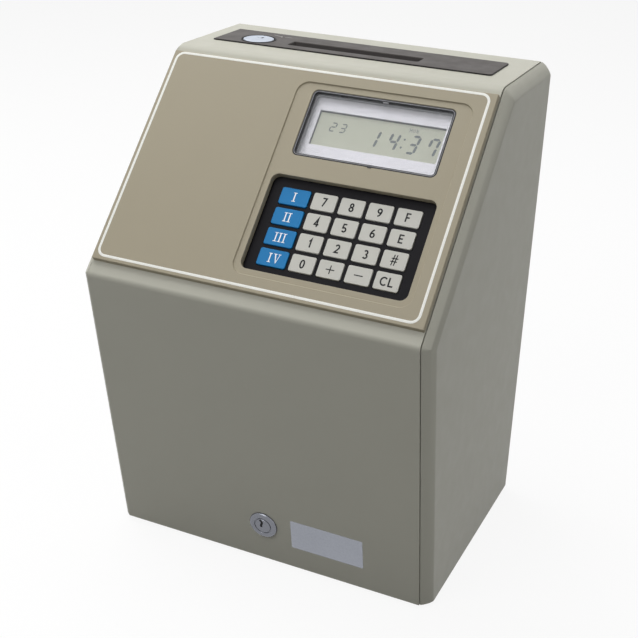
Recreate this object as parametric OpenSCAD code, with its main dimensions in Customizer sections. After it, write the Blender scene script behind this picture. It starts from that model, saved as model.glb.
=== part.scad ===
// Desk time clock: a hinged moulded cover over a steel chassis that carries
// the keypad, the display, the card chute, the card feed and the print head.
// Frame: X across the front, Y from the front to the back, Z up.
// The origin is at the middle of the footprint, on the surface it stands on.

/* [Case] */
// Width over both side covers
case_w = 246.6; // [246.2:0.2:248.2]
// Depth from the knee of the front to the back
case_d = 209; // [206:1:214]
// Height of the case above its feet
case_h = 337; // [334:1:342]
// Height of the knee above the bottom edge of the case
knee_h = 209; // [206:1:212]
// How far the knee stands out in front of the bottom edge
overhang = 36; // [32:1:40]
// Depth of the flat top before its edges are rounded
top_d = 87; // [84:1:90]
// Distance from the middle to the seam of a side cover
seam_x = 116.4; // [115.6:0.1:116.4]
// Thickness of the moulded covers
wall = 2.5; // [2:0.1:2.8]
// Width of the visible seam between covers
seam_gap = 0.5; // [0.3:0.1:0.8]
// How far the side covers are set back at their seam
edge_step = 0.8; // [0.6:0.1:1]
// Outside radius of the knee
knee_r = 5; // [4:0.5:8]
// Outside radius between the slope and the top
bend_r = 9; // [7:0.5:11]
// Height of the rubber feet
foot_h = 3; // [2:0.5:5]

/* [Face panel] */
// Width of the raised panel on the slope
panel_w = 232; // [228:0.5:232]
// Lower edge of the panel, measured up the slope from the knee
panel_low = 10.5; // [9:0.5:12]
// Upper edge of the panel
panel_high = 170.5; // [168:0.5:171]
// How far the panel stands above the slope
panel_proud = 3; // [2.5:0.1:3.5]
// Depth of the shallow recess round the window and the keypad
recess_depth = 1; // [0.6:0.1:1.4]

/* [Keypad] */
// Width of a light key
key_w = 16.4; // [15:0.1:16.6]
// Width of a key in the left column
wide_key_w = 20; // [18:0.1:20.2]
// Height of a key up the slope
key_h = 11.7; // [10:0.1:11.9]
// Spacing of the keys across the slope
key_pitch_x = 18.9; // [18.8:0.05:19]
// Spacing of the keys up the slope
key_pitch_s = 14.3; // [14.2:0.05:14.4]
// How far a key travels when it is pressed
key_travel = 0.8; // [0.6:0.1:0.9]

/* [Card chute] */
// Width of the card space
chute_w = 92; // [88:1:94]
// Depth of the card space from front to back
chute_gap = 5; // [4.6:0.1:5.4]
// Middle of the card space, behind the middle of the case
chute_y = 56.8; // [56:0.2:58]
// Middle of the card space, to the left of the middle of the case
chute_x = -2; // [-3:0.5:-1]

/* [Locks] */
// Height of the lock's centre up the front from its bottom edge
lock_b = 32.5; // [31:0.5:34]
// Radius of the lock's plug
plug_r = 5.9; // [5.6:0.1:6.1]
// Radial clearance of a turning fit
turn_fit = 0.06; // [0.03:0.01:0.09]

/* [Hidden] */
$fn = 64;
// Most that a chord of a rounded outline lies inside the true arc
arc_error = 0.015;

// Lean of the front, tilt of the slope, and how far the round takes back the knee
front_lean = atan(overhang / knee_h);
slope_tilt = atan2(case_h - knee_h, case_d - top_d);
knee_loss = knee_r * ((cos(front_lean) + sin(slope_tilt)) / (1 + sin(slope_tilt - front_lean)) - 1);

// Corners of the case in the YZ plane
y_back = (case_d - knee_loss) / 2;
y_knee = y_back - case_d;
y_front = y_knee + overhang;
y_bend = y_back - top_d;
z_low = foot_h;
z_knee = z_low + knee_h;
z_top = z_low + case_h;
back_r = 3;
drop = 40;
reach = 30;
front_foot = [y_front + drop * tan(front_lean), z_low - drop];
profile = [front_foot, [y_knee, z_knee], [y_bend, z_top], [y_back, z_top], [y_back, z_low - drop]];
profile_radii = [0, knee_r, bend_r, back_r, 0];
long_profile = [front_foot, [y_knee, z_knee], [y_bend, z_top], [y_back + reach, z_top], [y_back + reach, z_low - drop]];
long_radii = [0, knee_r, bend_r, 0, 0];

// Rounded edge of a side cover: a wide arc and then a tight one, with the tilts of the surface
// along them. Their centres are given by distance from the middle and depth in the outline.
edge_tilts = [36, 42.5, 49, 55.5, 62, 69, 76, 83, 90];
tight_from = 62;
wide_r = 20;
tight_r = 5;
tight_mid = [case_w / 2 - tight_r,
    edge_step + wide_r * cos(edge_tilts[0]) - (wide_r - tight_r) * cos(tight_from)];
wide_mid = tight_mid - (wide_r - tight_r) * [sin(tight_from), -cos(tight_from)];

// Chassis levels
base_z = z_low + 1;
base_t = 1.6;
floor_z = base_z + base_t;
base_front = y_front + 8.5;
sheet_t = 1.5;
back_plate_y = y_back - 5;
base_side = case_w / 2 - wall - 1.5;
frame_x = 104;
frame_t = 2;
flange_w = 13;

// Hinge of the cover
hinge_y = y_back - 9;
hinge_z = z_top - 9;
pin_r = 2;
ear_in = 99;
ear_out = 102;
flange_half = 98;
flange_drop = 20;

// Places on the slope: x across, s up from the knee, h out of the surface
panel_corner = 1;
recess = [-17, 21.5, 103.5, 160.3];
window = [-5.5, 107.5, 92.9, 156];
keypad = [-12.5, 25.9, 99.7, 92.9];
plate_h = -3.3;
plate_t = 2;
field_h = -2.4;
field_gap = 0.5;
key_top_h = -1.5;
key_low_h = -7.5;
keys_x0 = -4.1;
keys_s_top = 86;
key_gap = 2.4;
board_h = -14;
board_t = 1.6;
bracket_h = -17;
lcd_open = [1.3, 119.5, 88.2, 144.7];
lcd_box = [-14, 98, 102, 163];
bezel_box = [-16, 21, 103.5, 97];

// Card feed and print mechanism
feed_y = chute_y - chute_gap / 2 - 6.7;
feed_z = 135;
feed_r = 9;
card_t = 0.4;
pinch_r = 7;
pinch_y = feed_y + feed_r + card_t + pinch_r;
roller_x = [chute_x - 26, chute_x + 26];
roller_w = 12;
shaft_r = 3;
motor_shaft_r = 2;
gear_m = 1;
gear_teeth = 48;
pinion_teeth = 16;
gear_x = 94;
gear_t = 5;
motor_y = feed_y - gear_m * (gear_teeth + pinion_teeth) / 2;
chute_low = 70;
chute_high = z_top - 10;
chute_t = 2;
rod_y = 26;
rod_z = [224, 248];
rod_r = 3;
screw_y = 12;
screw_z = 236;
screw_r = 4;
screw_lead = 20;
head_x = -32;
print_z = 234;

// Key switch on the top and the top plate
switch_x = -75.5;
switch_y = chute_y - 0.7;
switch_r = 10.9;
switch_hole_r = 12.3;
plate_box = [-104.1, 41.6, 100.5, 81.2];
plate_proud = 1;
plate_lap = 1.2;

// Each key: its name, its column and its row, counted from the upper left
KEYS = [["key_i", 0, 0], ["key_ii", 0, 1], ["key_iii", 0, 2], ["key_iv", 0, 3],
    ["key_7", 1, 0], ["key_8", 2, 0], ["key_9", 3, 0], ["key_f", 4, 0],
    ["key_4", 1, 1], ["key_5", 2, 1], ["key_6", 3, 1], ["key_e", 4, 1],
    ["key_1", 1, 2], ["key_2", 2, 2], ["key_3", 3, 2], ["key_hash", 4, 2],
    ["key_0", 1, 3], ["key_plus", 2, 3], ["key_minus", 3, 3], ["key_cl", 4, 3]];

// Outline of a convex polygon whose corners are rounded, drawn in by an even distance
function unit(v) = v / norm(v);
function edge_normal(p, q) = let (d = unit(q - p)) [-d[1], d[0]];
function corner_normals(pts, i) = let (n = len(pts))
    [edge_normal(pts[(i + n - 1) % n], pts[i]), edge_normal(pts[i], pts[(i + 1) % n])];
function inner_corner(pts, i, inset) = let (m = corner_normals(pts, i))
    pts[i] - inset * (m[0] + m[1]) / (1 + m[0] * m[1]);
function corner_arc(pts, radii, i, inset) = let (
    r = radii[i] - inset,
    c = inner_corner(pts, i, radii[i]),
    m = corner_normals(pts, i),
    a0 = atan2(m[0][1], m[0][0]),
    turn = acos(m[0] * m[1]),
    steps = max(2, ceil(turn / (2 * acos(1 - arc_error / max(r, 0.1))))))
    r <= 0.05 ? [inner_corner(pts, i, inset)]
    : [for (k = [0:steps]) let (a = a0 - turn * k / steps) c + r * [cos(a), sin(a)]];
function outline(pts, radii, inset) = [for (i = [0:len(pts) - 1]) each corner_arc(pts, radii, i, inset)];
function box_corners(b) = [[b[0], b[1]], [b[0], b[3]], [b[2], b[3]], [b[2], b[1]]];
function round_box(b, r, inset = 0) = outline(box_corners(b), [r, r, r, r], inset);
function grow(b, d) = [b[0] - d, b[1] - d, b[2] + d, b[3] + d];

// Half thickness angle of an involute tooth at a radius
function involute(base, r) = let (a = acos(min(1, base / r))) tan(a) * 180 / PI - a;
function tooth_flank(teeth, m, play, side) = let (
    pitch = m * teeth / 2,
    base = pitch * cos(20),
    root = pitch - 1.15 * m,
    tip = pitch + 0.85 * m,
    half = 90 / teeth - play + involute(base, pitch))
    [for (k = side > 0 ? [0:5] : [5:-1:0])
        let (r = root + (tip - root) * k / 5, a = half - involute(base, max(r, base)))
        [r, -side * a]];
function gear_outline(teeth, m, play) = [for (t = [0:teeth - 1]) for (side = [1, -1])
    each [for (p = tooth_flank(teeth, m, play, side)) let (a = 360 * t / teeth + p[1]) p[0] * [cos(a), sin(a)]]];

module block(low, high) {
    translate(low) cube(high - low);
}

module along_x(x0, x1) {
    translate([x0, 0, 0]) rotate([90, 0, 90]) linear_extrude(x1 - x0) children();
}

module axle(x0, x1, y, z, r) {
    translate([x0, y, z]) rotate([0, 90, 0]) cylinder(r = r, h = x1 - x0);
}

module on_slope() {
    translate([0, y_knee, z_knee]) rotate([slope_tilt, 0, 0]) children();
}

module on_lock() {
    translate([0, y_front, z_low]) rotate([90 + front_lean, 0, 0]) translate([0, lock_b, 0]) children();
}

module slab(b, r, h0, h1, inset = 0) {
    translate([0, 0, h0]) linear_extrude(h1 - h0) polygon(round_box(b, r, inset));
}

// Plate whose upper edge is rounded, built as a stack of outlines
module soft_slab(b, r, h0, h1, soft) {
    hull() {
        slab(b, r, h0, h1 - soft);
        for (a = [30, 60, 90]) slab(b, r, h0, h1 - soft + soft * sin(a), soft * (1 - cos(a)));
    }
}

module room(y_end = y_back) {
    block([-case_w, y_knee - 10, z_low], [case_w, y_end, z_top + 1]);
}

// Covers

module front_cover() color([0.66, 0.66, 0.6]) {
    edge_x = seam_x - seam_gap / 2;
    difference() {
        union() {
            intersection() {
                room();
                difference() {
                    along_x(-edge_x, edge_x) polygon(outline(profile, profile_radii, 0));
                    along_x(-case_w, case_w) polygon(outline(profile, profile_radii, wall));
                    block([-case_w, y_back - wall - 1, 0], [case_w, y_back + 1, z_top - flange_drop]);
                    for (side = [-1, 1])
                        translate([side * (flange_half + 20), y_back, z_top - wall - 20])
                            cube([40, 2 * wall, 40], center = true);
                }
            }
            for (side = [-1, 1]) hinge_ear(side);
        }
        on_slope() slab(grow(window, 1), 5, -4, 1);
        on_slope() slab(grow(keypad, 1.6), 6, -4, 1);
        slab(grow(plate_box, -plate_lap), 2, z_top - 5, z_top + 1);
        on_lock() translate([0, 0, -8]) cylinder(r = plug_r + 2.3, h = 12);
    }
}

// Lug under the top that holds a hinge pin
module hinge_ear(side) {
    mid = side * (ear_in + ear_out) / 2;
    half = (ear_out - ear_in) / 2;
    difference() {
        union() {
            axle(mid - half, mid + half, hinge_y, hinge_z, 5);
            block([mid - half, hinge_y - 5, hinge_z], [mid + half, hinge_y + 5, z_top - wall + 0.2]);
        }
        axle(mid - 5, mid + 5, hinge_y, hinge_z, pin_r);
    }
}

// Point on the rounded edge of a side cover at a tilt, or as far inside it as a depth
function edge_point(a, depth) = a < tight_from ? wide_mid + (wide_r - depth) * [sin(a), -cos(a)]
    : tight_mid + (tight_r - depth) * [sin(a), -cos(a)];

module side_layers(depth, x0) {
    hull() for (a = edge_tilts) {
        p = edge_point(a, depth);
        along_x(x0, max(x0 + 0.1, p[0])) polygon(outline(long_profile, long_radii, p[1]));
    }
}

module right_side_cover() color([0.62, 0.62, 0.57]) {
    edge_x = seam_x + seam_gap / 2;
    lip = wall + 0.15;
    intersection() {
        room();
        along_x(0, case_w / 2 + 1) polygon(outline(profile, profile_radii, 0));
        difference() {
            side_layers(0, edge_x);
            side_layers(wall, seam_x - 1);
        }
    }
    intersection() {
        room(hinge_y - 8);
        along_x(seam_x - 8, edge_x + 2) difference() {
            polygon(outline(long_profile, long_radii, lip));
            polygon(outline(long_profile, long_radii, lip + 2));
        }
    }
}

module left_side_cover() {
    mirror([1, 0, 0]) right_side_cover();
}

module face_panel() color([0.62, 0.58, 0.5]) on_slope() {
    skirt = 1.2;
    difference() {
        union() {
            soft_slab([-panel_w / 2, panel_low, panel_w / 2, panel_high], panel_corner, 0, panel_proud, 0.8);
            slab(grow(keypad, skirt), 5 + skirt, 0.2 - wall, 1);
        }
        slab(recess, 8, panel_proud - recess_depth, panel_proud + 1);
        slab(window, 4, -5, panel_proud + 1);
        slab(keypad, 5, -5, panel_proud + 1);
    }
}

module display_window() color([0.85, 0.88, 0.9, 0.3]) on_slope() {
    slab(grow(window, 0.5), 4.5, -1.2, 0);
    slab(grow(window, -0.4), 3.6, -0.1, 1.6);
}

module top_plate() color([0.3, 0.28, 0.28]) {
    mouth = [chute_x - 48.4, chute_y - 6, chute_x + 48.4, chute_y + 6];
    throat = [chute_x - chute_w / 2 + 1, chute_y - chute_gap / 2, chute_x + chute_w / 2 - 1, chute_y + chute_gap / 2];
    difference() {
        union() {
            soft_slab(plate_box, 2, z_top, z_top + plate_proud, 0.4);
            slab(grow(plate_box, -plate_lap - 0.2), 1.8, z_top - 1.5, z_top + 0.2);
            slab(grow(mouth, 2), 3, z_top - 7, z_top);
        }
        hull() {
            slab(mouth, 1.5, z_top + 0.6, z_top + 2);
            slab(throat, 0.5, z_top - 4.5, z_top + 2);
        }
        slab(throat, 0.5, z_top - 9, z_top);
        translate([switch_x, switch_y, z_top - 5]) cylinder(r = switch_hole_r, h = 8);
    }
}

// Locks

module lock_body() color([0.7, 0.7, 0.72]) on_lock() {
    nut_r = 13;
    rosette_r = 10.6;
    barrel_r = plug_r + 2;
    difference() {
        union() {
            rotate_extrude() polygon([[0, 0], [rosette_r, 0], [rosette_r, 0.8], [rosette_r - 0.6, 1.6],
                [rosette_r - 1.8, 2], [0, 2]]);
            translate([0, 0, -20]) cylinder(r = barrel_r, h = 20.5);
        }
        translate([0, 0, -21]) cylinder(r = plug_r + turn_fit, h = 24);
        translate([0, 0, 1.2]) cylinder(r = plug_r + 0.6, h = 1);
    }
    difference() {
        translate([0, 0, -wall - 3.5]) cylinder(r = nut_r, h = 3.4, $fn = 6);
        translate([0, 0, -wall - 4]) cylinder(r = barrel_r + 0.05, h = 5);
    }
}

module lock_plug() color([0.6, 0.6, 0.62]) on_lock() {
    difference() {
        translate([0, 0, -22]) cylinder(r = plug_r, h = 23.9);
        translate([-2.1, 2, -4]) cube([1.5, 3.1, 7]);
        translate([-1.5, -1.2, -4]) cube([1.5, 3.9, 7]);
    }
}

module lock_cam() color([0.65, 0.65, 0.66]) on_lock() {
    translate([0, 0, -24]) cylinder(r = plug_r - 0.3, h = 2);
    translate([0, -4.5, -24]) cube([24, 9, 2]);
    translate([0, 0, -26.5]) cylinder(r = 3.5, h = 2.5, $fn = 6);
}

module hinge_pins() color([0.75, 0.75, 0.77]) {
    for (side = [-1, 1]) {
        mid = side * 103;
        axle(mid - 4.5, mid + 4.5, hinge_y, hinge_z, pin_r);
    }
}

// Chassis

module base_plate() color([0.7, 0.72, 0.72]) {
    difference() {
        block([-base_side, base_front, base_z], [base_side, back_plate_y, floor_z]);
        for (x = [-60:15:60]) translate([x, -15, 0]) block([-3, -20, base_z - 1], [3, 20, floor_z + 1]);
    }
    block([-20, base_front + 8, floor_z - 0.1], [20, base_front + 9.6, floor_z + 18]);
    block([-20, base_front + 0.5, floor_z - 0.1], [20, base_front + 9, floor_z + 1.4]);
    block([-frame_x + 1, back_plate_y - sheet_t, floor_z - 0.1], [frame_x - 1, back_plate_y, floor_z + 12]);
}

module feet() color([0.12, 0.12, 0.12]) {
    for (x = [-95, 95]) for (y = [base_front + 14, back_plate_y - 14])
        translate([x, y, 0]) {
            rotate_extrude() polygon([[0, 0], [8, 0], [9, 1], [9, base_z], [0, base_z]]);
        }
}

module back_plate() color([0.66, 0.68, 0.68]) {
    difference() {
        union() {
            block([-base_side, back_plate_y, floor_z], [base_side, back_plate_y + sheet_t, z_top - flange_drop - 3.5]);
            for (side = [-1, 1])
                translate([side * (base_side - 9), back_plate_y + sheet_t / 2, hinge_z - 20])
                    cube([10, sheet_t, 40], center = true);
        }
        for (x = [-70, 70]) for (z = [60, 285])
            translate([x, back_plate_y - 1, z]) rotate([-90, 0, 0]) cylinder(r = 2.75, h = sheet_t + 2);
        for (z = [150:9:204]) block([-30, back_plate_y - 1, z], [30, back_plate_y + 3, z + 3]);
        block([66, back_plate_y - 1, 22], [94, back_plate_y + 3, 42]);
    }
}

module frame_sheet(x0) {
    difference() {
        union() {
            intersection() {
                along_x(x0, x0 + frame_t) polygon(outline(long_profile, long_radii, 7));
                block([x0 - 1, y_knee, floor_z], [x0 + frame_t + 1, back_plate_y, hinge_z + 2]);
            }
            axle(x0, x0 + frame_t, hinge_y, hinge_z, 5.5);
        }
        difference() {
            block([x0 - 1, hinge_y, hinge_z - 9], [x0 + frame_t + 1, y_back + 1, z_top]);
            axle(x0 - 2, x0 + frame_t + 2, hinge_y, hinge_z, 5.5);
        }
        axle(x0 - 1, x0 + frame_t + 1, hinge_y, hinge_z, pin_r + turn_fit);
        axle(x0 - 1, x0 + frame_t + 1, feed_y, feed_z, shaft_r + turn_fit);
        for (z = rod_z) axle(x0 - 1, x0 + frame_t + 1, rod_y, z, rod_r);
    }
}

// Flanges that a frame is screwed down and back by
module frame_flanges(x0, x1) {
    block([x0, base_front + 6, floor_z], [x1, back_plate_y, floor_z + sheet_t]);
    block([x0, back_plate_y - sheet_t, floor_z], [x1, back_plate_y, z_top - 28]);
}

module left_frame() color([0.7, 0.72, 0.72]) {
    frame_sheet(-frame_x - frame_t);
    frame_flanges(-frame_x - flange_w, -frame_x - frame_t / 2);
}

module right_frame() color([0.7, 0.72, 0.72]) {
    difference() {
        frame_sheet(frame_x);
        axle(frame_x - 1, frame_x + frame_t + 1, screw_y, screw_z, shaft_r + turn_fit);
    }
    frame_flanges(frame_x + frame_t / 2, frame_x + flange_w);
}

module panel_bracket() color([0.7, 0.72, 0.72]) on_slope() {
    block([-frame_x, 14, bracket_h], [frame_x, 164, bracket_h + sheet_t]);
    for (side = [-1, 1])
        translate([side * (frame_x - sheet_t / 2), 89, bracket_h + 4.5])
            cube([sheet_t, 150, 9], center = true);
    for (x = [-50, 95]) for (s = [26, 154])
        translate([x, s, bracket_h + 1]) cylinder(r = 3, h = board_h - bracket_h - 1);
}

module panel_board() color([0.1, 0.35, 0.2]) on_slope() {
    block([-58, 19, board_h], [102, 164, board_h + board_t]);
    block([-50, 60, board_h + board_t - 0.1], [-24, 76, board_h + board_t + 3]);
    block([-50, 100, board_h + board_t - 0.1], [-30, 108, board_h + board_t + 5]);
    for (s = [118, 128, 138]) translate([-38, s, board_h + board_t - 0.1]) cylinder(r = 3, h = 5);
}

// Middle of a key on the slope and half its size
function key_mid(col, row) = [
    col == 0 ? keys_x0 + wide_key_w / 2
        : keys_x0 + wide_key_w + key_gap + key_w / 2 + (col - 1) * key_pitch_x,
    keys_s_top - key_h / 2 - row * key_pitch_s];
function key_half(col) = [(col == 0 ? wide_key_w : key_w) / 2, key_h / 2];
function key_box(col, row) = let (c = key_mid(col, row), h = key_half(col))
    [c[0] - h[0], c[1] - h[1], c[0] + h[0], c[1] + h[1]];

module keypad_bezel() color([0.13, 0.13, 0.14]) on_slope() {
    leg = 1.5;
    difference() {
        union() {
            block([bezel_box[0], bezel_box[1], plate_h - plate_t], [bezel_box[2], bezel_box[3], plate_h]);
            slab(grow(keypad, -field_gap), 4.5, plate_h - 1, field_h);
            difference() {
                block([bezel_box[0], bezel_box[1], board_h + board_t], [bezel_box[2] - 1.5, bezel_box[3], plate_h - 1]);
                block([bezel_box[0] + leg, bezel_box[1] + leg, board_h],
                    [bezel_box[2] - leg - 1.5, bezel_box[3] - leg, plate_h]);
            }
        }
        for (k = KEYS) slab(grow(key_box(k[1], k[2]), 0.35), 1.5, plate_h - 3, field_h + 1);
    }
}

module key_mat() color([0.5, 0.5, 0.48]) on_slope() {
    mat_h = board_h + board_t;
    block([bezel_box[0] + 3, bezel_box[1] + 3, mat_h], [bezel_box[2] - 5, bezel_box[3] - 3, mat_h + 1]);
    for (k = KEYS) {
        c = key_mid(k[1], k[2]);
        translate([c[0], c[1], mat_h + 0.9]) cylinder(r = 4, h = key_low_h - key_travel - mat_h - 1.1);
    }
}

module lcd_bezel() color([0.8, 0.8, 0.82]) on_slope() {
    difference() {
        block([lcd_box[0], lcd_box[1], board_h + board_t], [lcd_box[2], lcd_box[3], -3.5]);
        block([lcd_box[0] + sheet_t, lcd_box[1] + sheet_t, board_h],
            [lcd_box[2] - sheet_t, lcd_box[3] - sheet_t, -5]);
        slab(lcd_open, 0.4, -6, -3);
    }
}

module lcd_glass() color([0.7, 0.72, 0.64]) on_slope() {
    block([lcd_open[0] - 6, lcd_open[1] - 5, -8], [lcd_open[2] + 6, lcd_open[3] + 5, -5.1]);
    block([lcd_open[0] - 8, lcd_open[1] - 8, board_h + board_t], [lcd_open[2] + 8, lcd_open[3] + 8, -8]);
}

module key_cap(col, row) on_slope() {
    b = key_box(col, row);
    soft_slab(b, 1.3, key_low_h + 1, key_top_h, 0.5);
    slab(grow(b, 0.9), 1, key_low_h, plate_h - plate_t - 0.05);
}

module key_switch_body() color([0.45, 0.45, 0.47]) {
    translate([switch_x, switch_y, z_top - 38]) difference() {
        cylinder(r = 14, h = 30);
        translate([0, 0, 12]) cylinder(r = 8 + turn_fit, h = 20);
    }
    difference() {
        block([-frame_x, switch_y - 12, z_top - 30], [switch_x, switch_y + 12, z_top - 28]);
        translate([switch_x, switch_y, z_top - 40]) cylinder(r = 13.5, h = 20);
    }
    block([-frame_x, switch_y - 12, z_top - 39], [-frame_x + 2, switch_y + 12, z_top - 28]);
}

module key_switch_rotor() color([0.85, 0.86, 0.9]) translate([switch_x, switch_y, 0]) {
    difference() {
        union() {
            translate([0, 0, z_top - 25.5]) cylinder(r = 8, h = 18.5);
            translate([0, 0, z_top - 7.4]) rotate_extrude()
                polygon([[0, 0], [switch_r, 0], [switch_r, 8], [switch_r - 0.8, 8.8], [0, 8.8]]);
        }
        translate([-1.1, 1, z_top - 2]) cube([2.2, 5.5, 5]);
    }
}

// Card chute

module chute_front() color([0.68, 0.7, 0.7]) {
    y1 = chute_y - chute_gap / 2;
    x0 = chute_x - chute_w / 2 - 3;
    x1 = chute_x + chute_w / 2 + 3;
    difference() {
        union() {
            block([x0, y1 - chute_t, chute_low], [x1, y1, chute_high]);
            for (z = [90, 286]) block([-frame_x, y1 - chute_t, z], [frame_x, y1, z + 14]);
            for (z = [90, 286]) for (side = [-1, 1])
                translate([side * (frame_x - 1), y1 - 8, z + 7]) cube([2, 16, 14], center = true);
        }
        for (x = roller_x)
            block([x - roller_w / 2 - 2, y1 - 5, feed_z - 11], [x + roller_w / 2 + 2, y1 + 2, feed_z + 11]);
        block([x0 + 5, y1 - 5, print_z - 7], [x1 - 5, y1 + 2, print_z + 7]);
    }
}

module chute_back() color([0.68, 0.7, 0.7]) {
    y0 = chute_y - chute_gap / 2;
    y1 = chute_y + chute_gap / 2;
    x0 = chute_x - chute_w / 2 - 3;
    x1 = chute_x + chute_w / 2 + 3;
    difference() {
        union() {
            block([x0, y1, chute_low], [x1, y1 + chute_t, chute_high]);
            block([x0, y0, chute_low], [x0 + 3, y1 + 1, chute_high]);
            block([x1 - 3, y0, chute_low], [x1, y1 + 1, chute_high]);
            block([x0, y0, chute_low], [x1, y1 + 1, chute_low + 2]);
            for (x = [roller_x[0] - 13, roller_x[1] + 10])
                block([x, y1, feed_z - 6], [x + 3, pinch_y + 5, feed_z + 6]);
            for (x = [x0 + 4, x1 - 16]) for (z = [100, 290])
                block([x, y1 + 0.1, z], [x + 12, back_plate_y, z + 2]);
        }
        for (x = roller_x)
            block([x - roller_w / 2 - 2, y1 - 1, feed_z - 10], [x + roller_w / 2 + 2, y1 + 4, feed_z + 10]);
        axle(roller_x[0] - 14, roller_x[1] + 14, pinch_y, feed_z, 2 + turn_fit);
    }
}

module feed_roller() color([0.25, 0.25, 0.26]) {
    axle(-frame_x - frame_t, frame_x + frame_t, feed_y, feed_z, shaft_r);
    for (x = roller_x) difference() {
        axle(x - roller_w / 2, x + roller_w / 2, feed_y, feed_z, feed_r);
        axle(x - roller_w, x + roller_w, feed_y, feed_z, shaft_r);
    }
}

module feed_gear() color([0.9, 0.88, 0.8]) {
    difference() {
        union() {
            translate([gear_x, feed_y, feed_z]) rotate([90, 0, 90])
                linear_extrude(gear_t) polygon(gear_outline(gear_teeth, gear_m, 0.12));
            axle(gear_x - 5, gear_x + 1, feed_y, feed_z, 8);
        }
        axle(gear_x - 6, gear_x + gear_t + 1, feed_y, feed_z, shaft_r);
    }
}

module motor_pinion() color([0.8, 0.7, 0.4]) {
    translate([gear_x - 1, motor_y, feed_z]) rotate([90, 0, 90])
        rotate([0, 0, 180 / pinion_teeth])
            linear_extrude(gear_t + 2) polygon(gear_outline(pinion_teeth, gear_m, 0.3));
    axle(gear_x - 3.5, gear_x - 0.9, motor_y, feed_z, 5);
    axle(gear_x - 14, gear_x - 3, motor_y, feed_z, motor_shaft_r);
}

module feed_motor() color([0.35, 0.36, 0.38]) {
    body_x = gear_x - 28;
    front_x = gear_x - 4;
    difference() {
        translate([(body_x + front_x) / 2, motor_y, feed_z])
            cube([front_x - body_x, 35, 35], center = true);
        axle(front_x - 11, front_x + 1, motor_y, feed_z, motor_shaft_r + turn_fit);
    }
    for (dz = [-13, 13]) axle(front_x - 1, frame_x, motor_y - 13, feed_z + dz, 3);
}

module pinch_rollers() color([0.3, 0.3, 0.3]) {
    axle(roller_x[0] - 14, roller_x[1] + 14, pinch_y, feed_z, 2);
    for (x = roller_x) difference() {
        axle(x - roller_w / 2, x + roller_w / 2, pinch_y, feed_z, pinch_r);
        axle(x - roller_w, x + roller_w, pinch_y, feed_z, 2);
    }
}

// Print mechanism

module guide_rods() color([0.8, 0.8, 0.82]) {
    for (z = rod_z) axle(-frame_x - frame_t, frame_x + frame_t, rod_y, z, rod_r);
}

module carriage() color([0.2, 0.2, 0.22]) {
    difference() {
        block([head_x - 17, 4, 216], [head_x + 17, 36, 256]);
        for (z = rod_z) axle(head_x - 20, head_x + 20, rod_y, z, rod_r + turn_fit);
        axle(head_x - 20, head_x + 20, screw_y, screw_z, screw_r + 0.6);
        block([head_x - 12, 18, 230], [head_x + 12, 40, 242]);
    }
}

module print_head() color([0.5, 0.5, 0.53]) {
    block([head_x - 11, 19, 230.5], [head_x + 11, 44, 241.5]);
    block([head_x - 8, 43, 229], [head_x + 8, 47, 239]);
    block([head_x - 4, 46, 230], [head_x + 4, 50.2, 238]);
    for (x = [-9:3:9]) block([head_x + x - 0.6, 36.2, 241], [head_x + x + 0.6, 44, 246]);
}

module carriage_motor() color([0.35, 0.36, 0.38]) {
    difference() {
        union() {
            axle(-frame_x, -frame_x + 26, screw_y, screw_z, 15);
            axle(-frame_x + 25, -frame_x + 28, screw_y, screw_z, 6);
        }
        axle(-frame_x + 17, -frame_x + 29, screw_y, screw_z, shaft_r + turn_fit);
    }
}

// Round screw with a coarse thread
module carriage_screw() color([0.78, 0.78, 0.8]) {
    x0 = -frame_x + 28.3;
    x1 = frame_x - 4;
    turns = (x1 - x0 - 2) / screw_lead;
    axle(x0 - 10, x0 + 2, screw_y, screw_z, shaft_r);
    translate([x0 + 1.9, screw_y, screw_z]) rotate([0, 90, 0])
        linear_extrude(x1 - x0 - 2, twist = -360 * turns, slices = ceil(10 * turns), $fn = 8)
            translate([0.8, 0]) circle(r = screw_r - 0.8, $fn = 8);
    axle(x1 - 0.3, frame_x + frame_t, screw_y, screw_z, shaft_r);
}

module ribbon_cassette() color([0.16, 0.16, 0.17]) {
    y_end = chute_y - chute_gap / 2 - chute_t;
    left = -62;
    right = 58;
    soft_slab([left, -6, right, y_end], 5, 258, 274, 1.5);
    for (x = [left, right - 6]) block([x, 44, print_z - 8], [x + 6, y_end, 259]);
    for (x = [-34, 30]) translate([x, 20, 273]) cylinder(r = 9, h = 4);
    block([left + 5, y_end - 1.7, print_z - 5], [right - 5, y_end - 1.3, print_z + 5]);
}

// Electrics

module main_board() color([0.1, 0.35, 0.2]) {
    y0 = back_plate_y - 6;
    block([-88, y0 - board_t, 112], [88, y0, 282]);
    for (x = [-60, -20, 25]) block([x, y0 - board_t - 4, 230], [x + 22, y0 - board_t + 0.1, 238]);
    block([-30, y0 - board_t - 5, 190], [12, y0 - board_t + 0.1, 204]);
    for (x = [34, 48, 62]) translate([x, y0 - board_t + 0.1, 150]) rotate([90, 0, 0]) cylinder(r = 5, h = 14);
    for (x = [-80, 80]) for (z = [122, 272])
        translate([x, y0 - 0.1, z]) rotate([-90, 0, 0]) cylinder(r = 3, h = 6.1);
}

module transformer() color([0.4, 0.38, 0.35]) {
    block([-92, 26, floor_z], [-36, 66, floor_z + 44]);
    block([-84, 20, floor_z + 8], [-44, 72, floor_z + 36]);
    block([-100, 30, floor_z], [-28, 62, floor_z + 2]);
}

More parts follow.
